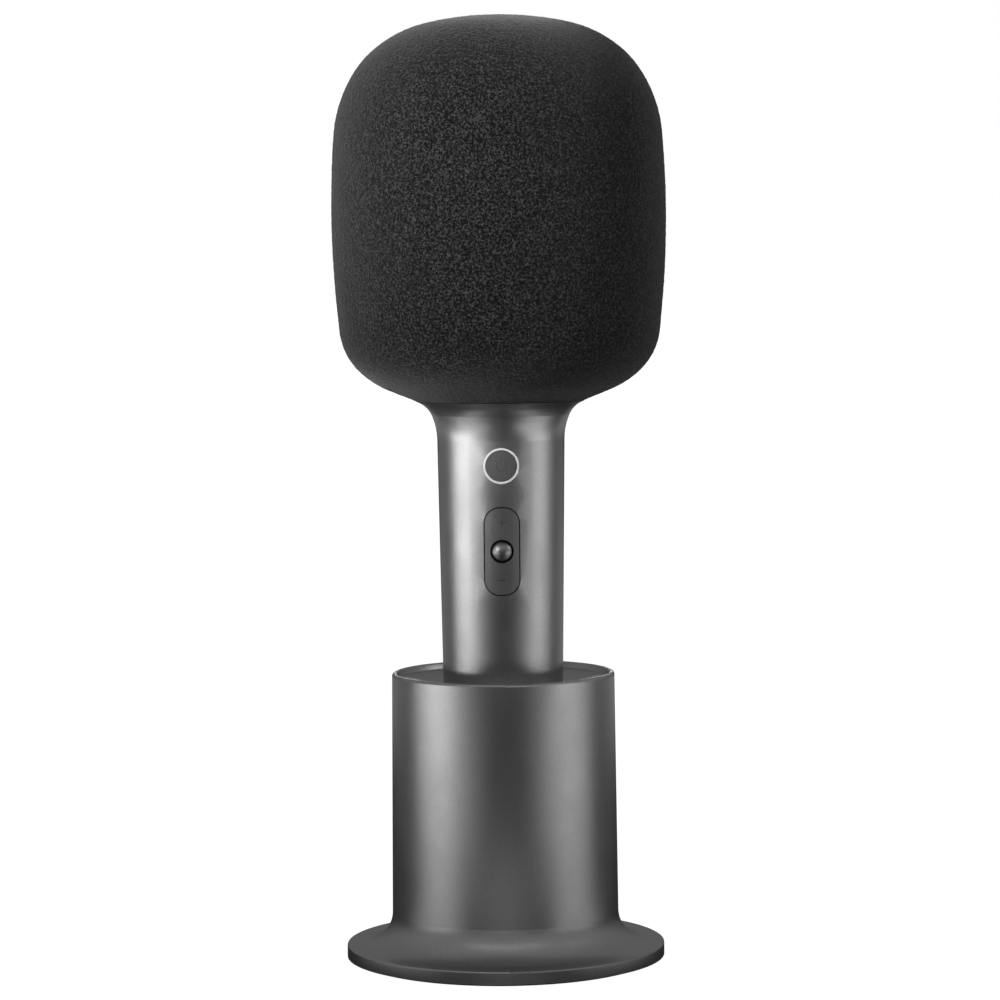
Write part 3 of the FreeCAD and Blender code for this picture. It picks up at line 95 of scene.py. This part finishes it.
class Paint:
    """A material under construction: one Principled shader and the nodes that feed it."""

    def __init__(self, name, **plain):
        self.material = bpy.data.materials.new(name)
        self.material.use_nodes = True
        self.tree = self.material.node_tree
        self.shader = self.tree.nodes["Principled BSDF"]
        self.place = self.node("ShaderNodeTexCoord").outputs["Object"]
        for socket, value in plain.items():
            self.shader.inputs[socket.replace("_", " ")].default_value = value

    def node(self, kind, **settings):
        """A new node with its settings or input values."""
        made = self.tree.nodes.new(kind)
        for key, value in settings.items():
            if hasattr(made, key):
                setattr(made, key, value)
            else:
                made.inputs[key].default_value = value
        return made

    def link(self, source, target):
        """Join an output to an input."""
        self.tree.links.new(source, target)

    def noise(self, size, detail=2.0, rough=0.5, stretch=None):
        """Noise whose grains are about size metres across; stretch scales each axis."""
        texture = self.node("ShaderNodeTexNoise", Scale=1.0 / size, Detail=detail, Roughness=rough)
        if stretch:
            mapping = self.node("ShaderNodeMapping", Scale=stretch)
            self.link(self.place, mapping.inputs["Vector"])
            self.link(mapping.outputs["Vector"], texture.inputs["Vector"])
        else:
            self.link(self.place, texture.inputs["Vector"])
        return texture.outputs["Fac"]

    def cells(self, size):
        """Distance to scattered cell centres about size metres apart."""
        texture = self.node("ShaderNodeTexVoronoi", Scale=1.0 / size)
        self.link(self.place, texture.inputs["Vector"])
        return texture.outputs["Distance"]

    def colour(self, source, dark, light, start=NOISE_LOW, stop=NOISE_HIGH):
        """Base colour that runs from dark to light with the source."""
        ramp = self.node("ShaderNodeValToRGB")
        ramp.color_ramp.elements[0].position = start
        ramp.color_ramp.elements[0].color = (*dark, 1)
        ramp.color_ramp.elements[1].position = stop
        ramp.color_ramp.elements[1].color = (*light, 1)
        self.link(source, ramp.inputs["Fac"])
        self.link(ramp.outputs["Color"], self.shader.inputs["Base Color"])

    def roughness(self, source, low, high):
        """Roughness that follows the source."""
        ranged = between(self.tree, source, (NOISE_LOW, NOISE_HIGH), (low, high))
        self.link(ranged, self.shader.inputs["Roughness"])

    def bump(self, source, depth, strength):
        """Bump of the given depth in metres, laid over any bump already there."""
        bump = self.node("ShaderNodeBump", Strength=strength, Distance=depth)
        self.link(source, bump.inputs["Height"])
        normal = self.shader.inputs["Normal"]
        if normal.is_linked:
            self.link(normal.links[0].from_socket, bump.inputs["Normal"])
        self.link(bump.outputs["Normal"], normal)


def grey(value, tint=0.0):
    """A neutral colour, a little warmer for a positive tint."""
    return (value * (1 + tint), value, value * (1 - tint))


def metallic_paint(name, base, rough):
    """Sprayed metallic lacquer: fine flakes, slight orange peel and faint handling haze."""
    paint = Paint(name, Metallic=0.97, Coat_Weight=0.12, Coat_Roughness=0.25)
    flake = paint.cells(0.22 * MM)
    paint.colour(flake, grey(base * 1.12), grey(base * 0.9), 0.1, 0.8)
    paint.roughness(paint.noise(9 * MM, 3.0, 0.6), rough - 0.02, rough + 0.03)
    paint.bump(paint.noise(0.35 * MM, 2.0), 0.004 * MM, 0.5)
    paint.bump(paint.noise(3 * MM, 1.0), 0.004 * MM, 0.4)
    return paint.material


def foam(name, dark, light):
    """Fine open-cell foam with a short flocked nap."""
    paint = Paint(name, Roughness=0.95, Sheen_Weight=0.13, Sheen_Roughness=0.5,
                  Specular_IOR_Level=0.05)
    grain = paint.noise(0.6 * MM, 3.0, 0.8)
    paint.colour(grain, grey(dark), grey(light), 0.47, 0.66)
    paint.bump(paint.cells(0.5 * MM), 0.12 * MM, 0.7)
    paint.bump(paint.noise(0.25 * MM, 2.0), 0.08 * MM, 0.6)
    return paint.material


def moulded(name, base, rough=0.5, grain=0.25, tint=(1, 1, 1)):
    """Moulded plastic with a fine spark-eroded grain, its size in millimetres."""
    paint = Paint(name, Specular_IOR_Level=0.45)
    low = tuple(base * 0.9 * t for t in tint)
    high = tuple(base * 1.1 * t for t in tint)
    paint.colour(paint.noise(7 * MM, 3.0), low, high)
    paint.roughness(paint.noise(0.8 * MM), rough - 0.06, rough + 0.06)
    paint.bump(paint.noise(grain * MM, 2.0), 0.012 * MM, 0.5)
    return paint.material


def metal(name, base, rough, tint=0.0, brushed=None):
    """Bare or plated metal; brushed stretches the grain along one axis."""
    paint = Paint(name, Metallic=1.0)
    paint.colour(paint.noise(4 * MM, 3.0), grey(base * 0.9, tint), grey(base * 1.06, tint))
    grain = paint.noise(0.12 * MM, 2.0, 0.6, brushed)
    paint.roughness(grain, rough - 0.05, rough + 0.08)
    paint.bump(grain, 0.003 * MM, 0.5)
    return paint.material


def rubber(name, base):
    """Soft rubber with a dusty, slightly pebbled surface."""
    paint = Paint(name, Specular_IOR_Level=0.35)
    paint.colour(paint.noise(5 * MM, 4.0), grey(base * 0.8), grey(base * 1.3))
    paint.roughness(paint.noise(1.2 * MM), 0.62, 0.85)
    paint.bump(paint.noise(0.3 * MM, 3.0), 0.03 * MM, 0.6)
    return paint.material


def cloth(name, dark, light, thread=0.4):
    """Woven or felted cloth; thread is the width of one thread in millimetres."""
    paint = Paint(name, Roughness=0.9, Sheen_Weight=0.25)
    paint.colour(paint.noise(thread * MM, 3.0, 0.7), dark, light)
    paint.bump(paint.cells(thread * MM), 0.08 * MM, 0.7)
    return paint.material


def circuit_board(name):
    """Green solder mask over faint copper tracks."""
    paint = Paint(name, Specular_IOR_Level=0.5)
    tracks = paint.node("ShaderNodeTexBrick", offset=0.5)
    tracks.inputs["Scale"].default_value = 600.0
    tracks.inputs["Mortar Size"].default_value = 0.03
    tracks.inputs["Color1"].default_value = (0.012, 0.09, 0.04, 1)
    tracks.inputs["Color2"].default_value = (0.014, 0.12, 0.05, 1)
    tracks.inputs["Mortar"].default_value = (0.05, 0.2, 0.08, 1)
    paint.link(paint.place, tracks.inputs["Vector"])
    paint.link(tracks.outputs["Color"], paint.shader.inputs["Base Color"])
    paint.roughness(paint.noise(2 * MM), 0.25, 0.4)
    paint.bump(tracks.outputs["Fac"], 0.02 * MM, 0.5)
    return paint.material


def light_guide_painted_glow(name):
    """Milky clear plastic of the ring round the power key, with a faint painted glow: it emits
    light though it is no lamp.
    """
    # The emission is a painted glow that brightens the ring.
    paint = Paint(name, IOR=1.49, Emission_Color=(1, 1, 1, 1), Emission_Strength=0.08)
    paint.colour(paint.noise(1.5 * MM, 2.0), grey(0.6), grey(0.72))
    paint.roughness(paint.noise(0.5 * MM), 0.3, 0.42)
    paint.bump(paint.noise(0.2 * MM), 0.004 * MM, 0.4)
    return paint.material


SLOTS = {
    "metallic_grey": metallic_paint("metallic_grey", 0.32, 0.36),
    "foam_black": foam("foam_black", 0.0001, 0.037),
    "black_plastic": moulded("black_plastic", 0.022, 0.5),
    "key_grey": moulded("key_grey", 0.075, 0.6),
    "clear_ring": light_guide_painted_glow("clear_ring"),
    "bright_metal": metal("bright_metal", 0.22, 0.38),
    "steel": metal("steel", 0.4, 0.34, brushed=(1, 1, 12)),
    "zinc_screw": metal("zinc_screw", 0.36, 0.3, 0.03),
    "rubber_black": rubber("rubber_black", 0.022),
    "felt_black": cloth("felt_black", grey(0.012), grey(0.04)),
    "cell_wrap": moulded("cell_wrap", 0.2, 0.3, 0.5, (0.25, 0.7, 1.3)),
    "nickel": metal("nickel", 0.6, 0.25, 0.04),
    "wire_black": rubber("wire_black", 0.03),
    "wire_red": moulded("wire_red", 0.3, 0.45, 0.3, (1.3, 0.06, 0.05)),
    "board_green": circuit_board("board_green"),
    "chip_black": moulded("chip_black", 0.018, 0.55),
    "can_aluminium": metal("can_aluminium", 0.65, 0.28, brushed=(12, 1, 12)),
    "plug_white": moulded("plug_white", 0.7, 0.45, 0.3, (1.05, 1.0, 0.92)),
    "silicone_grey": rubber("silicone_grey", 0.25),
    "lamp_white": moulded("lamp_white", 0.78, 0.2, 0.3, (1.0, 1.0, 0.9)),
    "frame_steel": metallic_paint("frame_steel", 0.05, 0.4),
    "ferrite": moulded("ferrite", 0.06, 0.6, 0.2),
    "cone_paper": cloth("cone_paper", grey(0.02), grey(0.06), 0.8),
    "coil_copper": metal("coil_copper", 0.4, 0.3, 0.5, (1, 1, 20)),
    "spider_cloth": cloth("spider_cloth", (0.25, 0.16, 0.06), (0.5, 0.34, 0.15), 0.3),
}


def dress_cad():
    """Give every CAD node the material of its slot in the record."""
    for entry in frame["record"]["subparts"]:
        piece = NODES[entry["node"]]
        material = SLOTS[entry["material_slot"]]
        if not piece.material_slots:
            piece.data.materials.append(material)
        for slot in piece.material_slots:
            slot.material = material


# ------------------------------------------------------------------ foam head

FOAM_LOW, FOAM_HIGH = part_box("foam_windscreen")
BORE_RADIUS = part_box("head_cage")[1][0] + 0.3 * MM
BORE_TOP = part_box("cage_cap")[1][2] + 0.5 * MM
SEAM_RADIUS = 22.7 * MM
FOAM_STEP = 0.45 * MM
FOAM_SIDES = 600
SMOOTHING_ROUNDS = 24
DOME_STEPS = 12
WALL_STEPS = 24

# The nap: it lies this far under the outline, and each wave adds (height, size, offset).
NAP_DEPTH = 0.10 * MM
NAP_WAVES = [
    (0.09 * MM, 0.95 * MM, Vector((0, 0, 0))),
    (0.07 * MM, 0.55 * MM, Vector((7, 3, 5))),
    (0.10 * MM, 14 * MM, Vector((1, 9, 4))),
]
HEAD_MIDDLE = 0.2  # about the height of the head's middle, which the nap sinks towards

# The outline from the seam up: (radius, height, radius of the arc that leads there).
FOAM_OUTLINE = [
    (SEAM_RADIUS, FOAM_LOW[2], None),
    (29.3 * MM, 152.3 * MM, None),
    (37.2 * MM, 157.2 * MM, 25.3 * MM),
    (42.85 * MM, 170.0 * MM, 17.4 * MM),
    (44.45 * MM, 202.9 * MM, 260 * MM),
    (43.6 * MM, 220.9 * MM, 226 * MM),
    (35.8 * MM, 239.9 * MM, 34.8 * MM),
    (20.2 * MM, 249.4 * MM, 31.4 * MM),
    (0.0, FOAM_HIGH[2], 84.2 * MM),
]


def outline_points(corners, step):
    """Points about step apart along runs and outward arcs."""
    points = [Vector(corners[0][:2])]
    for (r0, z0, _), (r1, z1, bend) in zip(corners, corners[1:]):
        start = Vector((r0, z0))
        end = Vector((r1, z1))
        chord = end - start
        count = max(1, round(chord.length / step))
        side = Vector((chord.y, -chord.x)).normalized()
        for i in range(1, count + 1):
            t = i / count
            bulge = 0.0
            if bend:
                half = chord.length / 2
                depth = math.sqrt(bend * bend - half * half)
                along = (t - 0.5) * chord.length
                bulge = math.sqrt(bend * bend - along * along) - depth
            points.append(start + chord * t + side * bulge)
    return points


def smoothed(points, rounds):
    """The same line with the slight kinks where arcs meet evened out."""
    for _ in range(rounds):
        inner = [(a + b * 2 + c) / 4 for a, b, c in zip(points, points[1:], points[2:])]
        points = [points[0]] + inner + [points[-1]]
    return points


ON_AXIS = 1e-6


def lathe(name, points, sides, shift, ring_shaped=False):
    """A closed turned mesh. shift moves each point, given its place and its index in the outline.

    The outline starts and ends on the axis, unless the mesh is ring-shaped.
    """
    mesh = bmesh.new()
    rings = []
    for index, (radius, height) in enumerate(points):
        if radius < ON_AXIS:
            rings.append([mesh.verts.new(shift(Vector((0, 0, height)), index))])
            continue
        ring = []
        for side in range(sides):
            angle = 2 * math.pi * side / sides
            spot = Vector((radius * math.cos(angle), radius * math.sin(angle), height))
            ring.append(mesh.verts.new(shift(spot, index)))
        rings.append(ring)
    if ring_shaped:
        rings.append(rings[0])
    for low, high in zip(rings, rings[1:]):
        for side in range(sides):
            after = (side + 1) % sides
            if len(high) == 1:
                mesh.faces.new((low[side], low[after], high[0]))
            elif len(low) == 1:
                mesh.faces.new((low[0], high[after], high[side]))
            else:
                mesh.faces.new((low[side], low[after], high[after], high[side]))
    for face in mesh.faces:
        face.smooth = True
    return mesh_piece(name, mesh)


def bore_points():
    """The bore from its domed end down to the seam."""
    ball = BORE_RADIUS * 1.08
    centre = BORE_TOP - ball
    spring = math.asin(BORE_RADIUS / ball)
    angles = [spring * i / DOME_STEPS for i in range(DOME_STEPS + 1)]
    dome = [(ball * math.sin(angle), centre + ball * math.cos(angle)) for angle in angles]
    foot = FOAM_LOW[2]
    wall = [(BORE_RADIUS, foot + (dome[-1][1] - foot) * i / WALL_STEPS)
            for i in range(WALL_STEPS - 1, -1, -1)]
    return [Vector(p) for p in dome + wall]


def foam_head():
    """Foam windscreen: open-cell skin with a fine nap, slightly uneven like real foam."""
    inside = bore_points()
    outside = smoothed(outline_points(FOAM_OUTLINE, FOAM_STEP), SMOOTHING_ROUNDS)
    last_still = len(inside) + 1

    def shift(spot, index):
        if index <= last_still:
            return spot
        sink = NAP_DEPTH
        for height, size, offset in NAP_WAVES:
            sink += height * noise.noise(spot / size + offset)
        outward = Vector((spot.x, spot.y, (spot.z - HEAD_MIDDLE) * 0.9)).normalized()
        return spot - outward * sink

    piece = lathe("foam_head", inside + outside, FOAM_SIDES, shift)
    piece.data.materials.append(SLOTS["foam_black"])
    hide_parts("foam_windscreen")
    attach(piece, "windscreen")


# ------------------------------------------------------------------ cup linings


CORNER_STEPS = 4
RING_SIDES = 280
PAD_SIDES = 240
PAD_STEPS = 40  # across the pad's flat middle
PAD_EDGE_STEPS = 6
PAD_UNDER_STEPS = 8


def rounded_section(inner, outer, low, high, corner, step):
    """Points round a rectangular section with rounded corners, from its low outer corner."""
    points = []
    for r, z, turn in ((outer - corner, low + corner, -90), (outer - corner, high - corner, 0),
                       (inner + corner, high - corner, 90), (inner + corner, low + corner, 180)):
        for i in range(CORNER_STEPS + 1):
            angle = math.radians(turn + 90 * i / CORNER_STEPS)
            points.append(Vector((r + corner * math.cos(angle), z + corner * math.sin(angle))))
    filled = []
    for start, end in zip(points, points[1:] + points[:1]):
        count = max(1, round((end - start).length / step))
        filled += [start + (end - start) * (i / count) for i in range(count)]
    return filled


def guide_ring():
    """Felt ring in the cup's tube, with a short pile on its face."""
    low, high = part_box("cup_guide_ring")
    gap = 0.04 * MM
    outer = high[0] - gap
    inner = outer - 1.32 * MM
    pile_depth = 0.05 * MM

    def shift(spot, index):
        if Vector((spot.x, spot.y)).length > (inner + outer) / 2:
            return spot
        outward = Vector((spot.x, spot.y, 0)).normalized()
        pile = noise.noise(spot / (0.8 * MM)) + 0.6 * noise.noise(spot / (0.4 * MM))
        return spot + outward * pile_depth * (1 + pile)

    section = rounded_section(inner, outer, low[2] + gap, high[2] - gap, 0.55 * MM, 0.3 * MM)
    piece = lathe("guide_ring_felt", section, RING_SIDES, shift, ring_shaped=True)
    piece.data.materials.append(SLOTS["felt_black"])
    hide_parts("cup_guide_ring")
    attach(piece, "stand")


def cup_pad():
    """Foam rubber pad that the handle stands on: flat in the middle, rounded at its edge."""
    low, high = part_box("cup_cushion")
    reach = high[0] - 0.05 * MM
    bottom = low[2] + 0.02 * MM
    top = high[2] - 0.03 * MM
    edge = 0.9 * MM
    flat = reach - edge
    shoulder = top - edge
    outline = [Vector((flat * i / PAD_STEPS, top)) for i in range(PAD_STEPS)]
    for i in range(PAD_EDGE_STEPS + 1):
        angle = math.pi / 2 * (1 - i / PAD_EDGE_STEPS)
        spot = (flat + edge * math.cos(angle), shoulder + edge * math.sin(angle))
        outline.append(Vector(spot))
    last_top = len(outline) - 1
    outline.append(Vector((reach - 0.15 * MM, (shoulder + bottom) / 2)))
    outline.append(Vector((reach - 0.1 * MM, bottom)))
    outline += [Vector((reach * (1 - i / PAD_UNDER_STEPS), bottom))
                for i in range(1, PAD_UNDER_STEPS + 1)]
    grain_depth = 0.035 * MM

    def shift(spot, index):
        if index > last_top:
            return spot
        grain = noise.noise(spot / (1.1 * MM)) + 0.7 * noise.noise(spot / (0.5 * MM))
        return spot - Vector((0, 0, grain_depth * (1 + grain / 1.7)))

    piece = lathe("cup_pad", outline, PAD_SIDES, shift)
    piece.data.materials.append(SLOTS["rubber_black"])
    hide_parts("cup_cushion")
    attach(piece, "stand")


# ------------------------------------------------------------------ printed marks


# The handle is a slow cone between these two (radius, height) places.
HANDLE_LOW = (15.0 * MM, 4.2 * MM)
HANDLE_HIGH = (17.0 * MM, 139.5 * MM)


def handle_surface(x, z, proud):
    """Place on the handle's front surface, a little proud of it."""
    share = (z - HANDLE_LOW[1]) / (HANDLE_HIGH[1] - HANDLE_LOW[1])
    radius = HANDLE_LOW[0] + (HANDLE_HIGH[0] - HANDLE_LOW[0]) * share + proud
    return Vector((x, -math.sqrt(radius * radius - x * x), z))


def rim(grid):
    """The points round the edge of a grid of rows, in order."""
    around = grid[0] + [row[-1] for row in grid[1:]] + grid[-1][-2::-1]
    return around + [row[0] for row in grid[-2:0:-1]]


def inlay(name, patches, proud, thickness, material, body):
    """Thin closed plates that follow the handle. A patch is a grid of (x, z) rows."""
    mesh = bmesh.new()
    for rows in patches:
        outer, inner = [[[mesh.verts.new(handle_surface(x, z, level)) for x, z in row]
                         for row in rows] for level in (proud, proud - thickness)]
        for a in range(len(rows) - 1):
            for b in range(len(rows[0]) - 1):
                for grid in (outer, inner):
                    mesh.faces.new((grid[a][b], grid[a][b + 1],
                                    grid[a + 1][b + 1], grid[a + 1][b]))
        rim_out, rim_in = rim(outer), rim(inner)
        for i, vert in enumerate(rim_out):
            j = (i + 1) % len(rim_out)
            mesh.faces.new((vert, rim_in[i], rim_in[j], rim_out[j]))
    piece = mesh_piece(name, mesh)
    piece.data.materials.append(material)
    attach(piece, body)


BAR_STEPS = 6
OPEN_RING_STEPS = 28


def bar(x, z, width, height):
    """One straight stroke as a patch."""
    columns = [x + width * (i / BAR_STEPS - 0.5) for i in range(BAR_STEPS + 1)]
    return [[(c, z - height / 2) for c in columns], [(c, z + height / 2) for c in columns]]


def open_ring(x, z, radius, stroke, gap):
    """A ring stroke with a gap at the top, as a patch; gap in radians."""
    start = math.pi / 2 + gap / 2
    angles = [start + (2 * math.pi - gap) * i / OPEN_RING_STEPS
              for i in range(OPEN_RING_STEPS + 1)]
    return [[(x + r * math.cos(a), z + r * math.sin(a)) for a in angles]
            for r in (radius - stroke / 2, radius + stroke / 2)]


def marks():
    """Generic power, plus and minus marks."""
    printed = moulded("mark_ink", 0.05, 0.58)
    stroke = 0.22 * MM
    thickness = 0.1 * MM
    low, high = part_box("power_button_cap")
    power_z = (low[2] + high[2]) / 2
    inlay("power_mark",
          [open_ring(0, power_z, 1.35 * MM, stroke, 1.0),
           bar(0, power_z + 1.15 * MM, stroke, 1.5 * MM)],
          -0.13 * MM, thickness, printed, "power_button")
    low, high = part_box("volume_rocker_key")
    middle = (low[2] + high[2]) / 2
    plus = middle + 7.6 * MM
    minus = middle - 7.6 * MM
    arm = 1.7 * MM
    half = (arm - stroke) / 2
    offset = (arm + stroke) / 4
    inlay("plus_minus_marks",
          [bar(0, plus, arm, stroke),
           bar(0, plus + offset, stroke, half),
           bar(0, plus - offset, stroke, half),
           bar(0, minus, arm, stroke)],
          0.02 * MM, thickness, printed, "volume_rocker")


# ------------------------------------------------------------------ studio

WHITE = (1, 1, 1, 1)
LENS = 124.2
CAMERA_PLACE = (-0.0004, -0.9195, 0.1814)
LOOKING_DOWN = 3.632  # degrees
CAMERA_ROLL = -0.58  # degrees


FLOOR_REACH = 30.0
FLOOR_LEVEL = -0.0002  # a little below the foot, so that the two don't share a plane


def floor():
    """Wide pale floor that casts no colour back on the object."""
    data = bpy.data.meshes.new("floor")
    corners = [(x * FLOOR_REACH, y * FLOOR_REACH, FLOOR_LEVEL)
               for x, y in ((-1, -1), (1, -1), (1, 1), (-1, 1))]
    data.from_pydata(corners, [], [(0, 1, 2, 3)])
    piece = place("floor", data)
    material = bpy.data.materials.new("floor_white")
    material.use_nodes = True
    shader = material.node_tree.nodes["Principled BSDF"]
    for socket, value in (("Base Color", (0.2, 0.2, 0.2, 1)), ("Roughness", 1.0),
                          ("Specular IOR Level", 0.0), ("Emission Color", WHITE),
                          ("Emission Strength", 1.0)):
        shader.inputs[socket].default_value = value
    data.materials.append(material)
    piece.visible_glossy = False
    piece.visible_diffuse = False


UP = 1000.0  # aimed this high, a lamp lies flat and shines up

# Name, azimuth from the front and positive to the right, distance from the axis, height, width,
# depth, power in watts, the height it is aimed at, and its spread in degrees. The lamps on the
# floor make the long highlights on the handle and cup, because both reflect what lies a little
# below the horizon.
SOFTBOXES = [
    ("left_far", -74, 1.5, 0.001, 0.8, 1.6, 31.0, UP),
    ("right_far", 74, 1.5, 0.001, 0.8, 1.6, 12.5, UP),
    ("left_card", -55, 0.45, 0.001, 0.32, 0.50, 0.64, UP),
    ("right_card", 60, 0.45, 0.001, 0.32, 0.50, 0.66, UP),
    ("left_close", -62, 0.12, 0.001, 0.07, 0.13, 0.018, UP),
    ("right_close", 66, 0.12, 0.001, 0.07, 0.13, 0.018, UP),
    ("front_strip", 0, 0.13, 0.007, 0.28, 0.014, 0.0018, 0.007, 70),
    ("left_near", -50, 0.30, 0.28, 0.22, 0.14, 0.24, 0.22, 32),
    ("right_near", 84, 0.30, 0.28, 0.20, 0.14, 0.026, 0.2, 50),
    ("front_top", 0, 0.62, 0.70, 1.1, 0.25, 0.42, 0.01),
    ("left_back", -142, 1.1, 0.001, 0.7, 1.3, 0.9, UP),
    ("right_back", 142, 1.1, 0.001, 0.7, 1.3, 1.1, UP),
    ("back_near", 180, 0.50, 0.24, 0.30, 0.14, 0.12, 0.24, 30),
]


def softbox(name, azimuth, distance, height, width, tall, power, aim, spread=180):
    """A soft light aimed at a height on the object's axis."""
    data = bpy.data.lights.new(name, "AREA")
    data.shape = "RECTANGLE"
    data.size = width
    data.size_y = tall
    data.energy = power
    data.spread = math.radians(spread)
    lamp = place(name, data)
    turn = math.radians(azimuth)
    spot = Vector((distance * math.sin(turn), -distance * math.cos(turn), height))
    lamp.location = spot
    way = Vector((0, 0, aim)) - spot
    lamp.rotation_euler = way.to_track_quat("-Z", "Y").to_euler()
    lamp.visible_camera = False


def arithmetic(tree, operation, *terms):
    """The output of a math node; each term is a number or another node's output."""
    made = tree.nodes.new("ShaderNodeMath")
    made.operation = operation
    for term, socket in zip(terms, made.inputs):
        if isinstance(term, float):
            socket.default_value = term
        else:
            tree.links.new(term, socket)
    return made.outputs["Value"]


SIDE_GLOW = 0.05


def world():
    """White backdrop for the camera, and for the rest a dim dome.

    The dome is darker near the horizon and behind, and a little lighter at the sides.
    """
    made = bpy.data.worlds.new("studio")
    bpy.context.scene.world = made
    made.use_nodes = True
    tree = made.node_tree
    path = tree.nodes.new("ShaderNodeLightPath")
    mix = tree.nodes.new("ShaderNodeMixShader")
    seen = tree.nodes.new("ShaderNodeBackground")
    fill = tree.nodes["Background"]
    seen.inputs["Color"].default_value = WHITE
    seen.inputs["Strength"].default_value = 1.0
    sky = tree.nodes.new("ShaderNodeTexCoord")
    split = tree.nodes.new("ShaderNodeSeparateXYZ")
    tree.links.new(sky.outputs["Generated"], split.inputs["Vector"])
    rise = between(tree, split.outputs["Z"], (-0.05, 0.2), (0.012, 0.36))
    behind = between(tree, split.outputs["Y"], (0.0, 1.0), (1.0, 0.62))
    dome = arithmetic(tree, "MULTIPLY", rise, behind)
    aside = arithmetic(tree, "MULTIPLY", split.outputs["X"], split.outputs["X"])
    total = arithmetic(tree, "MULTIPLY_ADD", aside, SIDE_GLOW, dome)
    tree.links.new(total, fill.inputs["Strength"])
    fill.inputs["Color"].default_value = WHITE
    tree.links.new(path.outputs["Is Camera Ray"], mix.inputs["Fac"])
    tree.links.new(fill.outputs["Background"], mix.inputs[1])
    tree.links.new(seen.outputs["Background"], mix.inputs[2])
    tree.links.new(mix.outputs["Shader"], tree.nodes["World Output"].inputs["Surface"])


def camera():
    """Long lens a little above the middle of the object, looking slightly down."""
    data = bpy.data.cameras.new("camera")
    data.lens = LENS
    data.sensor_width = 36.0
    data.clip_end = 100.0
    item = place("camera", data)
    pitch = Matrix.Rotation(math.radians(90 - LOOKING_DOWN), 4, "X")
    roll = Matrix.Rotation(math.radians(CAMERA_ROLL), 4, "Z")
    item.matrix_world = Matrix.Translation(CAMERA_PLACE) @ (pitch @ roll)
    bpy.context.scene.camera = item


def studio():
    """Camera, lights, backdrop and floor."""
    camera()
    world()
    floor()
    for row in SOFTBOXES:
        softbox(*row)
    bpy.context.scene.view_settings.view_transform = "Standard"


dress_cad()
foam_head()
guide_ring()
cup_pad()
marks()
studio()
